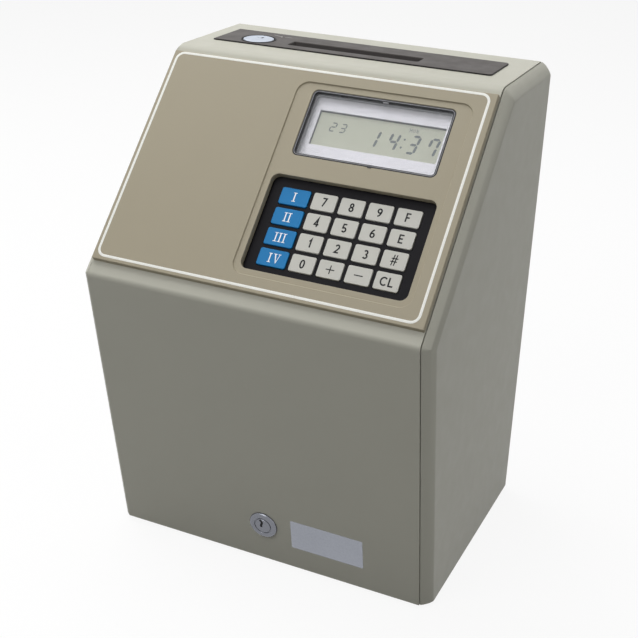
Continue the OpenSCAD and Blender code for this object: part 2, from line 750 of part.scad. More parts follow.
module power_inlet() color([0.1, 0.1, 0.1]) {
    y1 = back_plate_y + sheet_t;
    difference() {
        union() {
            block([66.3, y1 - 22, 22.3], [93.7, y1 + 1, 41.7]);
            block([58, y1, 19], [102, y1 + 2, 45]);
        }
        block([69, y1 - 16, 25], [91, y1 + 3, 39]);
    }
    for (x = [74, 80, 86]) block([x - 1, y1 - 17, 30], [x + 1, y1 - 4, 34]);
}

module chassis_screws() color([0.75, 0.75, 0.77]) {
    for (p = [[-112, 30], [112, 30], [-112, 290], [112, 290], [0, 14]])
        translate([p[0], back_plate_y + sheet_t, p[1]]) rotate([-90, 0, 0]) screw_head();
    for (x = [-112, 112]) for (y = [-40, 60])
        translate([x, y, floor_z + sheet_t]) screw_head();
}

module screw_head() {
    difference() {
        rotate_extrude() polygon([[0, 0], [3.2, 0], [3.2, 0.9], [2.2, 1.9], [0, 2.2]]);
        translate([-0.4, -2, 1.2]) cube([0.8, 4, 2]);
        translate([-2, -0.4, 1.2]) cube([4, 0.8, 2]);
    }
}

front_cover();
left_side_cover();
right_side_cover();
face_panel();
display_window();
top_plate();
lock_body();
hinge_pins();
lock_plug();
lock_cam();
base_plate();
feet();
back_plate();
left_frame();
right_frame();
panel_bracket();
panel_board();
keypad_bezel();
key_mat();
lcd_bezel();
lcd_glass();
key_switch_body();
key_switch_rotor();
chute_front();
chute_back();
feed_motor();
motor_pinion();
feed_roller();
feed_gear();
pinch_rollers();
guide_rods();
carriage();
print_head();
carriage_motor();
carriage_screw();
ribbon_cassette();
main_board();
transformer();
power_inlet();
chassis_screws();
for (k = KEYS)
    color(k[1] == 0 ? [0.15, 0.5, 0.75] : [0.8, 0.8, 0.77]) key_cap(k[1], k[2]);
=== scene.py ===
"""Desk time clock with a sloping keypad and display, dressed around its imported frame.

Lengths are in metres in the frame's own axes: X across the front, Y to the back, Z up.
Sloping parts are drawn in the slope's plane, as x across, s up the slope and h out of it.
"""

import math

import bmesh
import bpy
import numpy as np
from bpy.props import FloatProperty, FloatVectorProperty, PointerProperty
from mathutils import Matrix, Vector
from mathutils.geometry import tessellate_polygon


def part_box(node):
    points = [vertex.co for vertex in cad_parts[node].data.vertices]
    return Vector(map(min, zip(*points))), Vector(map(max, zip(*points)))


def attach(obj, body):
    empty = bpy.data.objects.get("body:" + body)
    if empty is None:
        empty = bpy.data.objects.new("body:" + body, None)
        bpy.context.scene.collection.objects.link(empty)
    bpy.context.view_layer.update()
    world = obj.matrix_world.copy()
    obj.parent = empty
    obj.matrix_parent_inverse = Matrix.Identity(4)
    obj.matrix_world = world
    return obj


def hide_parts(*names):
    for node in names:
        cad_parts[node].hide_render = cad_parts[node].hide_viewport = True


bl_info = {
    "name": "Time Clock",
    "version": (1, 0, 0),
    "blender": (4, 5, 0),
    "location": "3D Viewport > Sidebar > Time Clock",
    "description": "Builds the looks of a desk time clock around its packed frame",
    "category": "Object",
}

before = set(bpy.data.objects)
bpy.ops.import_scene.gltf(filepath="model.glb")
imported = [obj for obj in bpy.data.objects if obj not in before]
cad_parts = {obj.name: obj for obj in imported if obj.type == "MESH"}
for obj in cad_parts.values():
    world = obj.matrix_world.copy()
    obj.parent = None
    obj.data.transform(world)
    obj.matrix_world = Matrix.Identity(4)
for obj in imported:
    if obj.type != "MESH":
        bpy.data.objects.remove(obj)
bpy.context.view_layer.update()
MM = 0.001


def mm(*values):
    """Millimetres as an array in metres."""
    return np.array(values, float) * MM


# Places that the frame settles
COVER_LOW, COVER_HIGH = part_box("front_cover")
Z_LOW = COVER_LOW.z
Z_TOP = COVER_HIGH.z
Y_BACK = COVER_HIGH.y
SEAM_X = COVER_HIGH.x
CASE_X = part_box("right_side_cover")[1].x

# Outline of the case in the YZ plane
KNEE_HEIGHT = 209 * MM
OVERHANG = 36 * MM
TOP_DEPTH = 87 * MM
CASE_DEPTH = 209 * MM
Y_KNEE = Y_BACK - CASE_DEPTH
Z_KNEE = Z_LOW + KNEE_HEIGHT
Y_FRONT = Y_KNEE + OVERHANG
Y_BEND = Y_BACK - TOP_DEPTH
LEAN = math.atan2(OVERHANG, KNEE_HEIGHT)
TILT = math.atan2(Z_TOP - Z_KNEE, Y_BEND - Y_KNEE)

# Boxes on the slope: low x, low s, high x, high s
PANEL = mm(-116, 10.5, 116, 170.5)
RECESS = mm(-17, 21.5, 103.5, 160.3)
WINDOW = mm(-5.5, 107.5, 92.9, 156)
KEYPAD = mm(-12.5, 25.9, 99.7, 92.9)
DISPLAY = mm(1.3, 119.5, 88.2, 144.7)
STRIPE = mm(-112.7, 13.9, 111.0, 168.6)
WINDOW_CORNER = 4 * MM
KEYPAD_CORNER = 5 * MM
INWARD = np.array([1, 1, -1, -1])

# Boxes and places on the top and the front: low x, low y, high x, high y, and x, y
TOP_PLATE = mm(-104.1, 41.6, 100.5, 81.2)
PLATE_CORNERS = mm(0.8, 2.6, 2.6, 0.8)
MOUTH = mm(-50.4, 50.8, 46.4, 62.8)
THROAT = mm(-47, 54.3, 43, 59.3)
SWITCH = mm(-75.5, 56.1)
LOCK = mm(0, 32.5)
LABEL = mm(21.3, 18.9, 75.4, 43.5)

# Heights over the slope and over the top
GLASS_TOP = -5.08 * MM
MARK_RISE = 0.03 * MM
KEY_TOP = -1.5 * MM
KEY_FOOT = -6.9 * MM
PRINT_RISE = 0.06 * MM
PLATE_PROUD = 1.0 * MM
PLATE_UNDER = -1.5 * MM
FUNNEL_LOW = -7 * MM


# Planes


class Place:
    """A plane with its own axes: point (u, v, h) lies at origin + u across + v up + h out."""

    def __init__(self, origin, across, up):
        self.origin = np.array(origin, float)
        self.across = np.array(across, float)
        self.up = np.array(up, float)
        self.out = np.cross(self.across, self.up)

    def __call__(self, outline, h=0.0):
        """Points of an outline of (u, v) rows, all at height h."""
        uv = np.asarray(outline, float)
        return self.origin + uv[:, :1] * self.across + uv[:, 1:2] * self.up + h * self.out


SLOPE = Place((0, Y_KNEE, Z_KNEE), (1, 0, 0), (0, math.cos(TILT), math.sin(TILT)))
FRONT = Place((0, Y_FRONT, Z_LOW), (1, 0, 0), (0, -math.sin(LEAN), math.cos(LEAN)))
TOP = Place((0, 0, Z_TOP), (1, 0, 0), (0, 1, 0))


# Outlines


def corners(box):
    """Corners of a box of low u, low v, high u, high v, anticlockwise."""
    u0, v0, u1, v1 = box
    return np.array([[u0, v0], [u1, v0], [u1, v1], [u0, v1]])


def rounded(points, radii, inset=0.0, chords=8):
    """Convex outline drawn in by inset: each corner is an arc round the point that lies the corner's
    radius in from both its sides, and the arc's own radius is what the inset leaves of it."""
    p = np.asarray(points, float)
    sides = np.roll(p, -1, axis=0) - p
    sides /= np.linalg.norm(sides, axis=1, keepdims=True)
    after = np.stack([sides[:, 1], -sides[:, 0]], axis=1)
    before = np.roll(after, 1, axis=0)
    r = np.maximum(np.broadcast_to(radii, len(p)) - inset, 0.0)
    dot = (before * after).sum(axis=1)
    centre = p - ((r + inset) / (1 + dot))[:, None] * (before + after)
    start = np.arctan2(before[:, 1], before[:, 0])
    turn = np.arctan2(before[:, 0] * after[:, 1] - before[:, 1] * after[:, 0], dot)
    a = start[:, None] + turn[:, None] * np.linspace(0, 1, chords + 1)
    arcs = centre[:, None] + r[:, None, None] * np.stack([np.cos(a), np.sin(a)], axis=2)
    return arcs.reshape(-1, 2)


def round_box(box, radius, inset=0.0, chords=8):
    """Box with round corners, drawn in by inset."""
    return rounded(corners(box), radius, inset, chords)


def box_rings(place, box, radius, steps, chords=8):
    """Rings of a box with round corners, one for each (inset, height) of the steps."""
    return [place(round_box(box, radius, inset, chords), h) for inset, h in steps]


def circle(centre, radius, count=64):
    """Points round a circle, anticlockwise."""
    a = np.linspace(0, 2 * math.pi, count, endpoint=False)
    return np.asarray(centre) + radius * np.stack([np.cos(a), np.sin(a)], axis=1)


def soft_edge(radius, top, count=5):
    """(Inset, height) steps of a rounded edge: a quarter circle from the wall over to the top."""
    a = np.linspace(0, math.pi / 2, count)
    return np.column_stack([radius * (1 - np.cos(a)), top - radius + radius * np.sin(a)])


# Case profile, as paths of (y, z) points from the back over the top and down the front

ARC = 10
FOOT_DROP = 40 * MM
CASE_CORNERS = [
    (Y_FRONT + FOOT_DROP * math.tan(LEAN), Z_LOW - FOOT_DROP),
    (Y_BACK, Z_LOW - FOOT_DROP),
    (Y_BACK, Z_TOP),
    (Y_BEND, Z_TOP),
    (Y_KNEE, Z_KNEE),
]


def case_path(sizes, inset, back_radius):
    """Arcs of the top's back edge, the bend and the knee, and the front's lower end, drawn in by inset."""
    radii = [0, 0, back_radius, sizes.bend_radius, sizes.knee_radius]
    ring = rounded(CASE_CORNERS, radii, inset, ARC).reshape(5, ARC + 1, 2)
    foot, knee_end = ring[0, 0], ring[4, -1]
    share = (knee_end[1] - Z_LOW) / (knee_end[1] - foot[1])
    low = knee_end + share * (foot - knee_end)
    return np.concatenate([ring[2], ring[3], ring[4], low[None]])


def side_path(sizes, inset):
    """The case path of a side cover: its upper line meets the round of the top's back edge."""
    path = case_path(sizes, inset, sizes.back_radius)
    r = sizes.back_radius
    rise = math.asin(max(r - inset, 0) / r)
    a = np.linspace(0, rise, ARC + 1)
    path[: ARC + 1, 0] = Y_BACK - r + r * np.cos(a)
    path[: ARC + 1, 1] = min(Z_TOP - r, Z_TOP - inset) + r * np.sin(a)
    return path


def at_x(path, x):
    """Points of a (y, z) path at one x."""
    return np.column_stack([np.full(len(path), x), path])


# Surfaces


class Surface:
    """Grids and flat fills that together close one piece."""

    def __init__(self):
        self.points = []
        self.faces = []
        self.count = 0

    def add(self, points, faces):
        """Keeps points and the faces between them."""
        self.points.append(points)
        self.faces += (faces + self.count).tolist()
        self.count += len(points)

    def grid(self, rings, closed=True):
        """Quads between rings of equal length: corner (i, j) meets its neighbours i + 1 and j + 1."""
        rings = np.asarray(rings, float)
        rows, columns = rings.shape[:2]
        index = np.arange(rows * columns).reshape(rows, columns)
        if closed:
            index = np.concatenate([index, index[:, :1]], axis=1)
        quads = [index[:-1, :-1], index[:-1, 1:], index[1:, 1:], index[1:, :-1]]
        self.add(rings.reshape(-1, 3), np.stack(quads, axis=-1).reshape(-1, 4))

    def fill(self, *outlines):
        """Triangles of a flat face: the first outline less the others."""
        vectors = [[Vector(p) for p in outline] for outline in outlines]
        self.add(np.concatenate(outlines), np.array(tessellate_polygon(vectors)))

    def lathe(self, place, centre, profile, count=64):
        """Surface turned about a line out of the plane: rings of each (radius, h) of the profile."""
        self.grid([place(circle(centre, r, count), h) for r, h in profile])

    def pit(self, place, outline, high, low):
        """Wall of a blind hole from one height down to another, and its bottom."""
        self.grid([place(outline, high), place(outline, low)])
        self.fill(place(outline, low))

    def plate(self, place, outline, low, high):
        """Closed plate of one outline between two heights."""
        self.capped([place(outline, low), place(outline, high)])

    def capped(self, rings):
        """Grid of rings that is closed at both ends."""
        self.grid(rings)
        self.fill(rings[0])
        self.fill(rings[-1])

    def slab(self, place, box, radius, low, high, soft, chords=8):
        """Closed plate of a round box. Its upper edge is a quarter circle of radius soft."""
        self.capped(box_rings(place, box, radius, [(0, low), *soft_edge(soft, high)], chords))

    def ring_frame(self, place, box, radius, thick, low, high, soft):
        """Closed ring between a round box and the same drawn in by thick, with soft upper edges."""
        over = soft_edge(soft, high, 4)
        back = over[::-1] * (-1, 1) + (thick, 0)
        rings = box_rings(place, box, radius, [(0, low), *over, *back, (thick, low)])
        self.grid(rings + rings[:1])

    def mesh(self, name, sharp=40):
        """Mesh of what was kept, with doubles merged, faces turned out and sharp edges marked."""
        data = bpy.data.meshes.new(name)
        data.from_pydata(np.concatenate(self.points), [], self.faces)
        work = bmesh.new()
        work.from_mesh(data)
        bmesh.ops.remove_doubles(work, verts=work.verts, dist=1e-6)
        bmesh.ops.dissolve_degenerate(work, edges=work.edges, dist=1e-7)
        bmesh.ops.recalc_face_normals(work, faces=work.faces)
        work.to_mesh(data)
        work.free()
        data.polygons.foreach_set("use_smooth", [True] * len(data.polygons))
        data.set_sharp_from_angle(angle=math.radians(sharp))
        return data


def piece(name, surface, paint, body, replaces=(), even=True):
    """Object of a surface that rides on a body. With even, its flat faces keep their own light."""
    data = surface.mesh(name)
    data.materials.append(finish(paint))
    obj = bpy.data.objects.new(name, data)
    bpy.context.scene.collection.objects.link(obj)
    if even:
        weighted = obj.modifiers.new("Even shading", "WEIGHTED_NORMAL")
        weighted.keep_sharp = True
        weighted.weight = 90
    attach(obj, body)
    if replaces:
        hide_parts(*replaces)


# Finishes


class Nodes:
    """Short ways to lay out the nodes of a material or a world."""

    def __init__(self, owner):
        owner.use_nodes = True
        self.owner = owner
        self.tree = owner.node_tree

    def add(self, kind, inputs=(), **settings):
        """A node of that kind, with its settings, and its inputs as values or links."""
        node = self.tree.nodes.new("ShaderNode" + kind)
        for key, value in settings.items():
            setattr(node, key, value)
        for key, value in dict(inputs).items():
            self.put(node.inputs[key], value)
        return node

    def put(self, socket, value):
        """Links an output to a socket, or sets the socket's value."""
        if isinstance(value, bpy.types.NodeSocket):
            self.tree.links.new(value, socket)
        else:
            socket.default_value = value

    def look(self, inputs):
        """Sets or links inputs of the material's shader, and gives the material back."""
        for key, value in inputs.items():
            self.put(self.tree.nodes["Principled BSDF"].inputs[key], value)
        return self.owner

    def noise(self, scale, detail=3.0, stretch=(1, 1, 1)):
        """Noise in object coordinates. Scale is in features to a metre."""
        place = self.add("TexCoord").outputs["Object"]
        mapping = self.add("Mapping", {"Vector": place, "Scale": stretch})
        inputs = {"Vector": mapping.outputs[0], "Scale": scale, "Detail": detail}
        return self.add("TexNoise", inputs).outputs["Fac"]

    def ramp(self, value, low, high, start=0.3, end=0.7):
        """Values from low to high as the input goes from start to end."""
        inputs = {"Value": value, "From Min": start, "From Max": end, "To Min": low, "To Max": high}
        return self.add("MapRange", inputs).outputs[0]

    def clouds(self, noise, colour, darker, lighter):
        """A colour that wanders with the noise between a darker and a lighter share of itself."""
        node = self.add("Mix", {0: noise}, data_type="RGBA")
        self.put(node.inputs[6], shade(colour, darker))
        self.put(node.inputs[7], shade(colour, lighter))
        return node.outputs[2]

    def bump(self, height, distance):
        """Bump of a height map. Distance is the depth in metres."""
        return self.add("Bump", {"Height": height, "Distance": distance, "Strength": 1.0}).outputs[0]

    def white_rays(self):
        """One for the rays that shall see a white background, and zero for those that light the clock."""
        path = self.add("LightPath")
        total = 0.0
        for ray in ("Is Camera Ray", "Is Glossy Ray", "Is Transmission Ray"):
            inputs = {0: total, 1: path.outputs[ray]}
            total = self.add("Math", inputs, operation="ADD", use_clamp=True).outputs[0]
        return total

    def blend(self, factor, first, second, output):
        """Sends a mix of two shaders to the output node of that name."""
        mix = self.add("MixShader", {0: factor, 1: first.outputs[0], 2: second.outputs[0]})
        self.put(self.tree.nodes[output].inputs["Surface"], mix.outputs[0])


def srgb(red, green, blue):
    """Linear colour of three values from 0 to 255 as a screen shows them."""
    c = np.array([red, green, blue]) / 255
    return tuple(np.where(c <= 0.04045, c / 12.92, ((c + 0.055) / 1.055) ** 2.4))


def shade(colour, factor=1.0):
    """Four values of a colour made lighter or darker."""
    return (*(min(c * factor, 1.0) for c in tuple(colour)[:3]), 1.0)


def moulded(name, colour, roughness, grain=3000.0, depth=0.02 * MM, cloud=0.05, gloss=0.2, coat=0.0):
    """Moulded plastic: a fine spark texture, faint clouds of colour and roughness that wanders."""
    n = Nodes(bpy.data.materials.new(name))
    return n.look({
        "Base Color": n.clouds(n.noise(18.0, 4.0), colour, 1 - cloud, 1 + cloud),
        "Roughness": n.ramp(n.noise(90.0), roughness - 0.05, roughness + 0.05),
        "Normal": n.bump(n.noise(grain, 2.0), depth),
        "Specular IOR Level": gloss,
        "Coat Weight": coat,
    })


def metal(name, colour, roughness, grain=60.0, depth=0.004 * MM, stretch=(1, 1, 1)):
    """Metal with a grain: noise, stretched along an axis where it is drawn, drives roughness and bump."""
    n = Nodes(bpy.data.materials.new(name))
    lines = n.noise(grain, 3.0, stretch)
    return n.look({
        "Base Color": n.clouds(n.noise(40.0), colour, 0.92, 1.06),
        "Roughness": n.ramp(lines, roughness - 0.06, roughness + 0.1),
        "Normal": n.bump(lines, depth),
        "Metallic": 1.0,
    })


def print_ink(name, colour, roughness=0.45):
    """Printed ink: slightly uneven cover over the surface under it."""
    n = Nodes(bpy.data.materials.new(name))
    return n.look({
        "Base Color": n.clouds(n.noise(900.0), colour, 0.9, 1.05),
        "Roughness": roughness,
        "Specular IOR Level": 0.15,
    })


def clear_lens(name, colour):
    """Clear acrylic: nearly all light goes through, and the surface keeps a faint gloss."""
    n = Nodes(bpy.data.materials.new(name))
    return n.look({
        "Base Color": shade(colour),
        "Roughness": n.ramp(n.noise(30.0), 0.03, 0.08),
        "Alpha": 0.10,
        "IOR": 1.49,
    })


# Sizes and colours that a user would change


def length(name, description, value):
    """Property that holds a length."""
    return FloatProperty(name=name, description=description, default=value * MM, min=0.0, unit="LENGTH",
                         subtype="DISTANCE", precision=5)


def tint(name, description, *value):
    """Property that holds a colour, given as a screen shows it."""
    return FloatVectorProperty(name=name, description=description, default=srgb(*value), size=3, min=0.0,
                               max=1.0, subtype="COLOR")


class CaseSizes(bpy.types.PropertyGroup):
    """Sizes of the moulded covers."""

    wall: length("Wall", "Thickness of the moulded covers", 2.5)
    knee_radius: length("Knee radius", "Outside radius of the knee", 5)
    bend_radius: length("Bend radius", "Outside radius between the slope and the top", 9)
    back_radius: length("Back radius", "Outside radius of the top's back edge", 3)
    edge_step: length("Edge step", "How far the side covers are set back at their seam", 0.8)
    wide_radius: length("Wide radius", "Radius of a side cover's edge next to its seam", 20)
    tight_radius: length("Tight radius", "Radius of a side cover's edge next to its side", 5)
    seam_gap: length("Seam gap", "Width of the seams", 0.5)
    seam_edge: length("Seam edge", "Radius of the edges along the seams", 0.3)
    flange_half: length("Flange half width", "Half the width of the flange behind the top", 98)
    flange_drop: length("Flange drop", "How far that flange reaches down from the top", 20)


class PanelSizes(bpy.types.PropertyGroup):
    """Sizes of the face panel and what shows in it."""

    proud: length("Proud", "How far the panel stands above the slope", 3)
    edge: length("Edge", "Radius of the panel's outer edge", 0.5)
    draft: length("Draft", "How far the panel's walls lean in", 0.35)
    corner: length("Corner", "Radius of the panel's corners", 1)
    recess_depth: length("Recess depth", "Depth of the recess round window and keypad", 1)
    recess_corner: length("Recess corner", "Radius of the recess's corners", 8)
    recess_step: length("Recess step", "Width of the soft step down into the recess", 0.6)
    opening_edge: length("Opening edge", "Radius of the edges round window and keypad", 0.35)
    skirt: length("Skirt", "Wall of the keypad opening behind the panel", 1.2)
    stripe: length("Stripe", "Width of the light border line", 1.8)


class KeySizes(bpy.types.PropertyGroup):
    """Sizes of the keys and their print."""

    corner: length("Corner", "Radius of a key's corners", 1.3)
    edge: length("Edge", "Radius of a key's upper edge", 0.45)
    dish: length("Dish", "How far a key's top is hollowed", 0.04)
    letter: length("Letter", "Height of the printed figures", 6.05)
    stroke: length("Stroke", "Width of the strokes of the printed figures", 1.0)
    numeral: length("Numeral", "Height of the Roman numerals", 6.3)


class Finishes(bpy.types.PropertyGroup):
    """Colours of the clock's materials."""

    case: tint("Case", "Moulded covers", 182, 181, 169)
    panel: tint("Panel", "Face panel", 161, 153, 133)
    stripe: tint("Stripe", "Light border line", 243, 243, 237)
    dark_plate: tint("Dark plate", "Top plate round the card slot", 72, 68, 66)
    keypad: tint("Keypad", "Plate between the keys", 24, 23, 26)
    blue_key: tint("Blue key", "Keys of the left column", 12, 117, 177)
    grey_key: tint("Grey key", "Other keys", 196, 195, 188)
    bezel: tint("Bezel", "Silver frame round the display", 160, 159, 164)
    display: tint("Display", "Display without marks", 188, 190, 172)
    segments: tint("Segments", "Marks on the display", 84, 93, 96)
    lock: tint("Lock", "Round lock", 122, 124, 131)
    zinc: tint("Zinc", "Zinc plated chassis", 190, 193, 190)
    label: tint("Label", "Bare label foil", 157, 160, 168)


# Each finish: its maker, its name, a tint of the scene or a screen colour, and the maker's other values
RECIPES = {
    "case": (moulded, "Case moulding", "case", 0.46, 2600, 0.025 * MM, 0.02),
    "panel": (moulded, "Panel moulding", "panel", 0.42, 3200, 0.015 * MM, 0.025),
    "stripe": (print_ink, "Stripe paint", "stripe", 0.3),
    "dark_plate": (moulded, "Dark plate moulding", "dark_plate", 0.4, 3200, 0.01 * MM, 0.06, 0.08),
    "keypad": (moulded, "Keypad moulding", "keypad", 0.42, 3000, 0.015 * MM, 0.08, 0.06),
    "blue_key": (moulded, "Blue key moulding", "blue_key", 0.42, 3500, 0.012 * MM, 0.03),
    "grey_key": (moulded, "Grey key moulding", "grey_key", 0.44, 3500, 0.012 * MM, 0.02),
    # Near black of the window gasket, also used for the painted shadow bars along the display's left and top
    # edges.
    "gasket": (moulded, "Window gasket", (46, 47, 50), 0.3, 2000, 0.01 * MM, 0.08),
    # Light grey of the window's bead and rim, which are painted highlights.
    "rim": (moulded, "Window rim", (150, 150, 154), 0.35, 2000, 0.01 * MM, 0.05),
    "bezel": (metal, "Silver bezel", "bezel", 0.5, 80, 0.003 * MM, (1, 30, 30)),
    "display": (moulded, "Display sheet", "display", 0.3, 600, 0.002 * MM, 0.02),
    "segments": (print_ink, "Display segments", "segments", 0.35),
    "faint_segments": (print_ink, "Faint display segments", (128, 133, 130), 0.35),
    "black_ink": (print_ink, "Black key print", (26, 26, 28)),
    "white_ink": (print_ink, "White key print", (250, 252, 254)),
    "lock": (metal, "Nickel lock", "lock", 0.22, 900, 0.002 * MM),
    "switch": (metal, "Switch disc", (165, 171, 181), 0.5, 700, 0.002 * MM),
    # Near black of the switch collar, and of the ring under the top plate's edge, which is painted shade.
    "seal": (moulded, "Plate seal", (22, 20, 20), 0.5, 1500, 0.01 * MM, 0.1),
    # Dark lining of the card slot: painted shade.
    "slot_liner": (moulded, "Slot liner", (50, 47, 46), 0.5, 2000, 0.01 * MM, 0.08, 0.08),
    "tick_ink": (print_ink, "Switch tick paint", (172, 170, 168)),
    # Near black plate down in the keyways: painted shade inside the holes.
    "hole_shade_paint": (moulded, "Dark keyway", (16, 16, 17), 0.6, 900, 0.01 * MM, 0.1),
    "label": (metal, "Label foil", "label", 0.6, 700, 0.002 * MM),
    "lens": (clear_lens, "Clear lens", (240, 244, 246)),
    "zinc": (metal, "Zinc plated sheet", "zinc", 0.38, 160, 0.006 * MM),
    "steel": (metal, "Ground steel", (200, 201, 204), 0.25, 120, 0.003 * MM, (30, 1, 1)),
    "rubber": (moulded, "Black rubber", (34, 34, 35), 0.75, 1400, 0.04 * MM, 0.15),
    "roller": (moulded, "Roller rubber", (48, 48, 50), 0.65, 1800, 0.03 * MM, 0.1),
    "board": (moulded, "Circuit board", (34, 96, 62), 0.28, 700, 0.02 * MM, 0.14, 0.2, 0.4),
    "motor": (moulded, "Motor lacquer", (44, 45, 48), 0.35, 900, 0.02 * MM, 0.1),
    "black_plastic": (moulded, "Black moulding", (30, 30, 32), 0.38, 1800, 0.02 * MM, 0.12),
    "brass": (metal, "Brass", (206, 170, 96), 0.28, 300, 0.004 * MM),
    "nylon": (moulded, "Nylon", (226, 220, 200), 0.45, 1200, 0.015 * MM, 0.04),
    "aluminium": (metal, "Cast aluminium", (184, 186, 190), 0.42, 500, 0.02 * MM),
    "laminations": (metal, "Laminations", (112, 104, 96), 0.5, 90, 0.03 * MM, (1, 1, 60)),
}
NODE_FINISHES = {
    "zinc": "base_plate back_plate left_frame right_frame panel_bracket chute_front chute_back",
    "steel": "hinge_pins guide_rods carriage_screw chassis_screws",
    "rubber": "feet key_mat",
    "roller": "feed_roller pinch_rollers",
    "board": "panel_board main_board",
    "keypad": "keypad_bezel",
    "display": "lcd_glass",
    "bezel": "lcd_bezel",
    "motor": "feed_motor carriage_motor",
    "black_plastic": "key_switch_body carriage ribbon_cassette power_inlet",
    "brass": "motor_pinion",
    "nylon": "feed_gear",
    "aluminium": "print_head",
    "lock": "lock_cam",
    "laminations": "transformer",
}
MADE = {}


def finish(name):
    """The material of that name, made once from its recipe."""
    if name not in MADE:
        maker, label, colour, *values = RECIPES[name]
        if isinstance(colour, str):
            linear = getattr(bpy.context.scene.time_clock_finishes, colour)
        else:
            linear = srgb(*colour)
        MADE[name] = maker(label, linear, *values)
    return MADE[name]


# Covers


def tongue(surface, sizes, side):
    """Tongue of a side cover that reaches under the front cover, as a strip of even thickness."""
    lip = sizes.wall + 0.15 * MM
    thick = 2 * MM
    back_room = 17 * MM
    inner, outer = SEAM_X - 7.75 * MM, SEAM_X + 2.5 * MM
    section = [(inner, lip), (outer, lip), (outer, lip + thick), (inner, lip + thick)]
    rings = np.array([at_x(case_path(sizes, inset, 0.0)[ARC:], side * x) for x, inset in section])
    rings[:, 0, 1] = Y_BACK - back_room
    surface.grid([*rings, rings[0]], closed=False)
    surface.fill(rings[:, 0])
    surface.fill(rings[:, -1])


def edge_levels(sizes, depth):
    """Distances from the middle and insets along a side cover's edge, on its surface or a depth inside
    it: a wide arc whose surface first tilts by 36 degrees, then a tight one from 62 to 90 degrees."""
    first, bend = math.radians(36), math.radians(62)
    spread = sizes.wide_radius - sizes.tight_radius
    rise = sizes.wide_radius * math.cos(first) - spread * math.cos(bend)
    tight = np.array([CASE_X - sizes.tight_radius, sizes.edge_step + rise])
    wide = tight - spread * np.array([math.sin(bend), -math.cos(bend)])
    r = sizes.wide_radius - depth
    start = math.asin((SEAM_X + sizes.seam_gap - wide[0]) / r)
    arcs = [(wide, r, np.linspace(start, bend, 9)),
            (tight, sizes.tight_radius - depth, np.linspace(bend, math.pi / 2, 8)[1:])]
    return np.concatenate([middle + radius * np.stack([np.sin(a), -np.cos(a)], axis=1)
                           for middle, radius, a in arcs])


def side_cover(side):
    """Side cover: the case path drawn in along its edge, closed by the flat side. An inner layer a
    wall's thickness in has the same rows, and rims join the two."""
    sizes = bpy.context.scene.time_clock_case
    surface = Surface()
    seams, rims = [], []
    for depth in (0.0, sizes.wall):
        rings = np.array([at_x(side_path(sizes, inset), side * x) for x, inset in edge_levels(sizes, depth)])
        surface.grid(rings, closed=False)
        foot = [rings[-1, 0, 0], Y_BACK, Z_LOW]
        surface.fill([*rings[-1], foot])
        seams.append(rings[0])
        rims.append([*rings[:, -1], foot, *rings[::-1, 0]])
    surface.grid(seams, closed=False)
    surface.grid(rims, closed=False)
    tongue(surface, sizes, side)
    return surface


def front_cover():
    """Front cover: a sheet carried along X on the case path. Its flats are filled round their
    openings, its arcs are grids, and its two seam edges are rounded."""
    sizes = bpy.context.scene.time_clock_case
    surface = Surface()
    # Openings under the plate, the window, the keypad and the lock, with room round what they hold
    openings = [
        (TOP, round_box(TOP_PLATE, 2 * MM, 1.2 * MM)),
        (SLOPE, round_box(WINDOW, 5 * MM, -1 * MM)),
        (SLOPE, round_box(KEYPAD, 6 * MM, -1.6 * MM)),
        (FRONT, circle(LOCK, 8.2 * MM, 48)),
    ]
    layers = []
    for depth, x_end in ((0.0, SEAM_X - sizes.seam_edge), (sizes.wall, SEAM_X)):
        path = case_path(sizes, depth, sizes.back_radius)
        rows = np.array([at_x(path, x) for x in (-x_end, -sizes.flange_half, sizes.flange_half, x_end)])
        for k, place in enumerate((TOP, SLOPE, FRONT)):
            end = (k + 1) * (ARC + 1)
            surface.grid(rows[:, end - ARC - 1:end], closed=False)
            holes = [place(hole, -depth) for owner, hole in openings if owner is place]
            surface.fill(np.concatenate([rows[:, end - 1], rows[::-1, end]]), *holes)
        lip = rows[1:3, 0].copy()
        lip[:, 2] = Z_TOP - sizes.flange_drop
        surface.grid([rows[1:3, 0], lip], closed=False)
        layers.append((rows, lip))
    for place, hole in openings:
        surface.grid([place(hole), place(hole, -sizes.wall)])
    (outer, outer_lip), (inner, inner_lip) = layers
    surface.grid([outer_lip, inner_lip], closed=False)
    feet = []
    for side, end, near in ((-1, 0, 1), (1, 3, 2)):
        rings = [at_x(case_path(sizes, inset, sizes.back_radius), side * x)
                 for inset, x in soft_edge(sizes.seam_edge, SEAM_X)]
        surface.grid([*rings, inner[end]], closed=False)
        surface.fill([outer[near, 0], *(ring[0] for ring in rings), inner[end, 0], inner[near, 0]])
        surface.fill([outer[near, 0], outer_lip[near - 1], inner_lip[near - 1], inner[near, 0]])
        feet.append([ring[-1] for ring in rings])
        hinge_lug(surface, sizes, side)
    surface.fill([*feet[0][::-1], *outer[1:3, -1], *feet[1], *inner[::-1, -1]])
    return surface


def hinge_lug(surface, sizes, side):
    """Lug of the front cover that holds a hinge pin: a half round below, square up to the sheet."""
    low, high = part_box("hinge_pins")
    y, z = (low.y + high.y) / 2, (low.z + high.z) / 2
    r = 5 * MM
    top = Z_TOP - sizes.wall + 0.2 * MM
    a = np.linspace(math.pi, 2 * math.pi, 17)
    outline = [*np.column_stack([y + r * np.cos(a), z + r * np.sin(a)]), [y + r, top], [y - r, top]]
    surface.capped([at_x(outline, side * x) for x in mm(99, 102)])


class TIMECLOCK_OT_covers(bpy.types.Operator):
    """Build the front cover and the two side covers"""

    bl_idname = "timeclock.covers"
    bl_label = "Covers"

    def execute(self, context):
        piece("case_front", front_cover(), "case", "cover", ["front_cover"])
        for side, name in ((-1, "left"), (1, "right")):
            piece(f"case_{name}", side_cover(side), "case", "cover", [f"{name}_side_cover"])
        return {"FINISHED"}


# Face panel


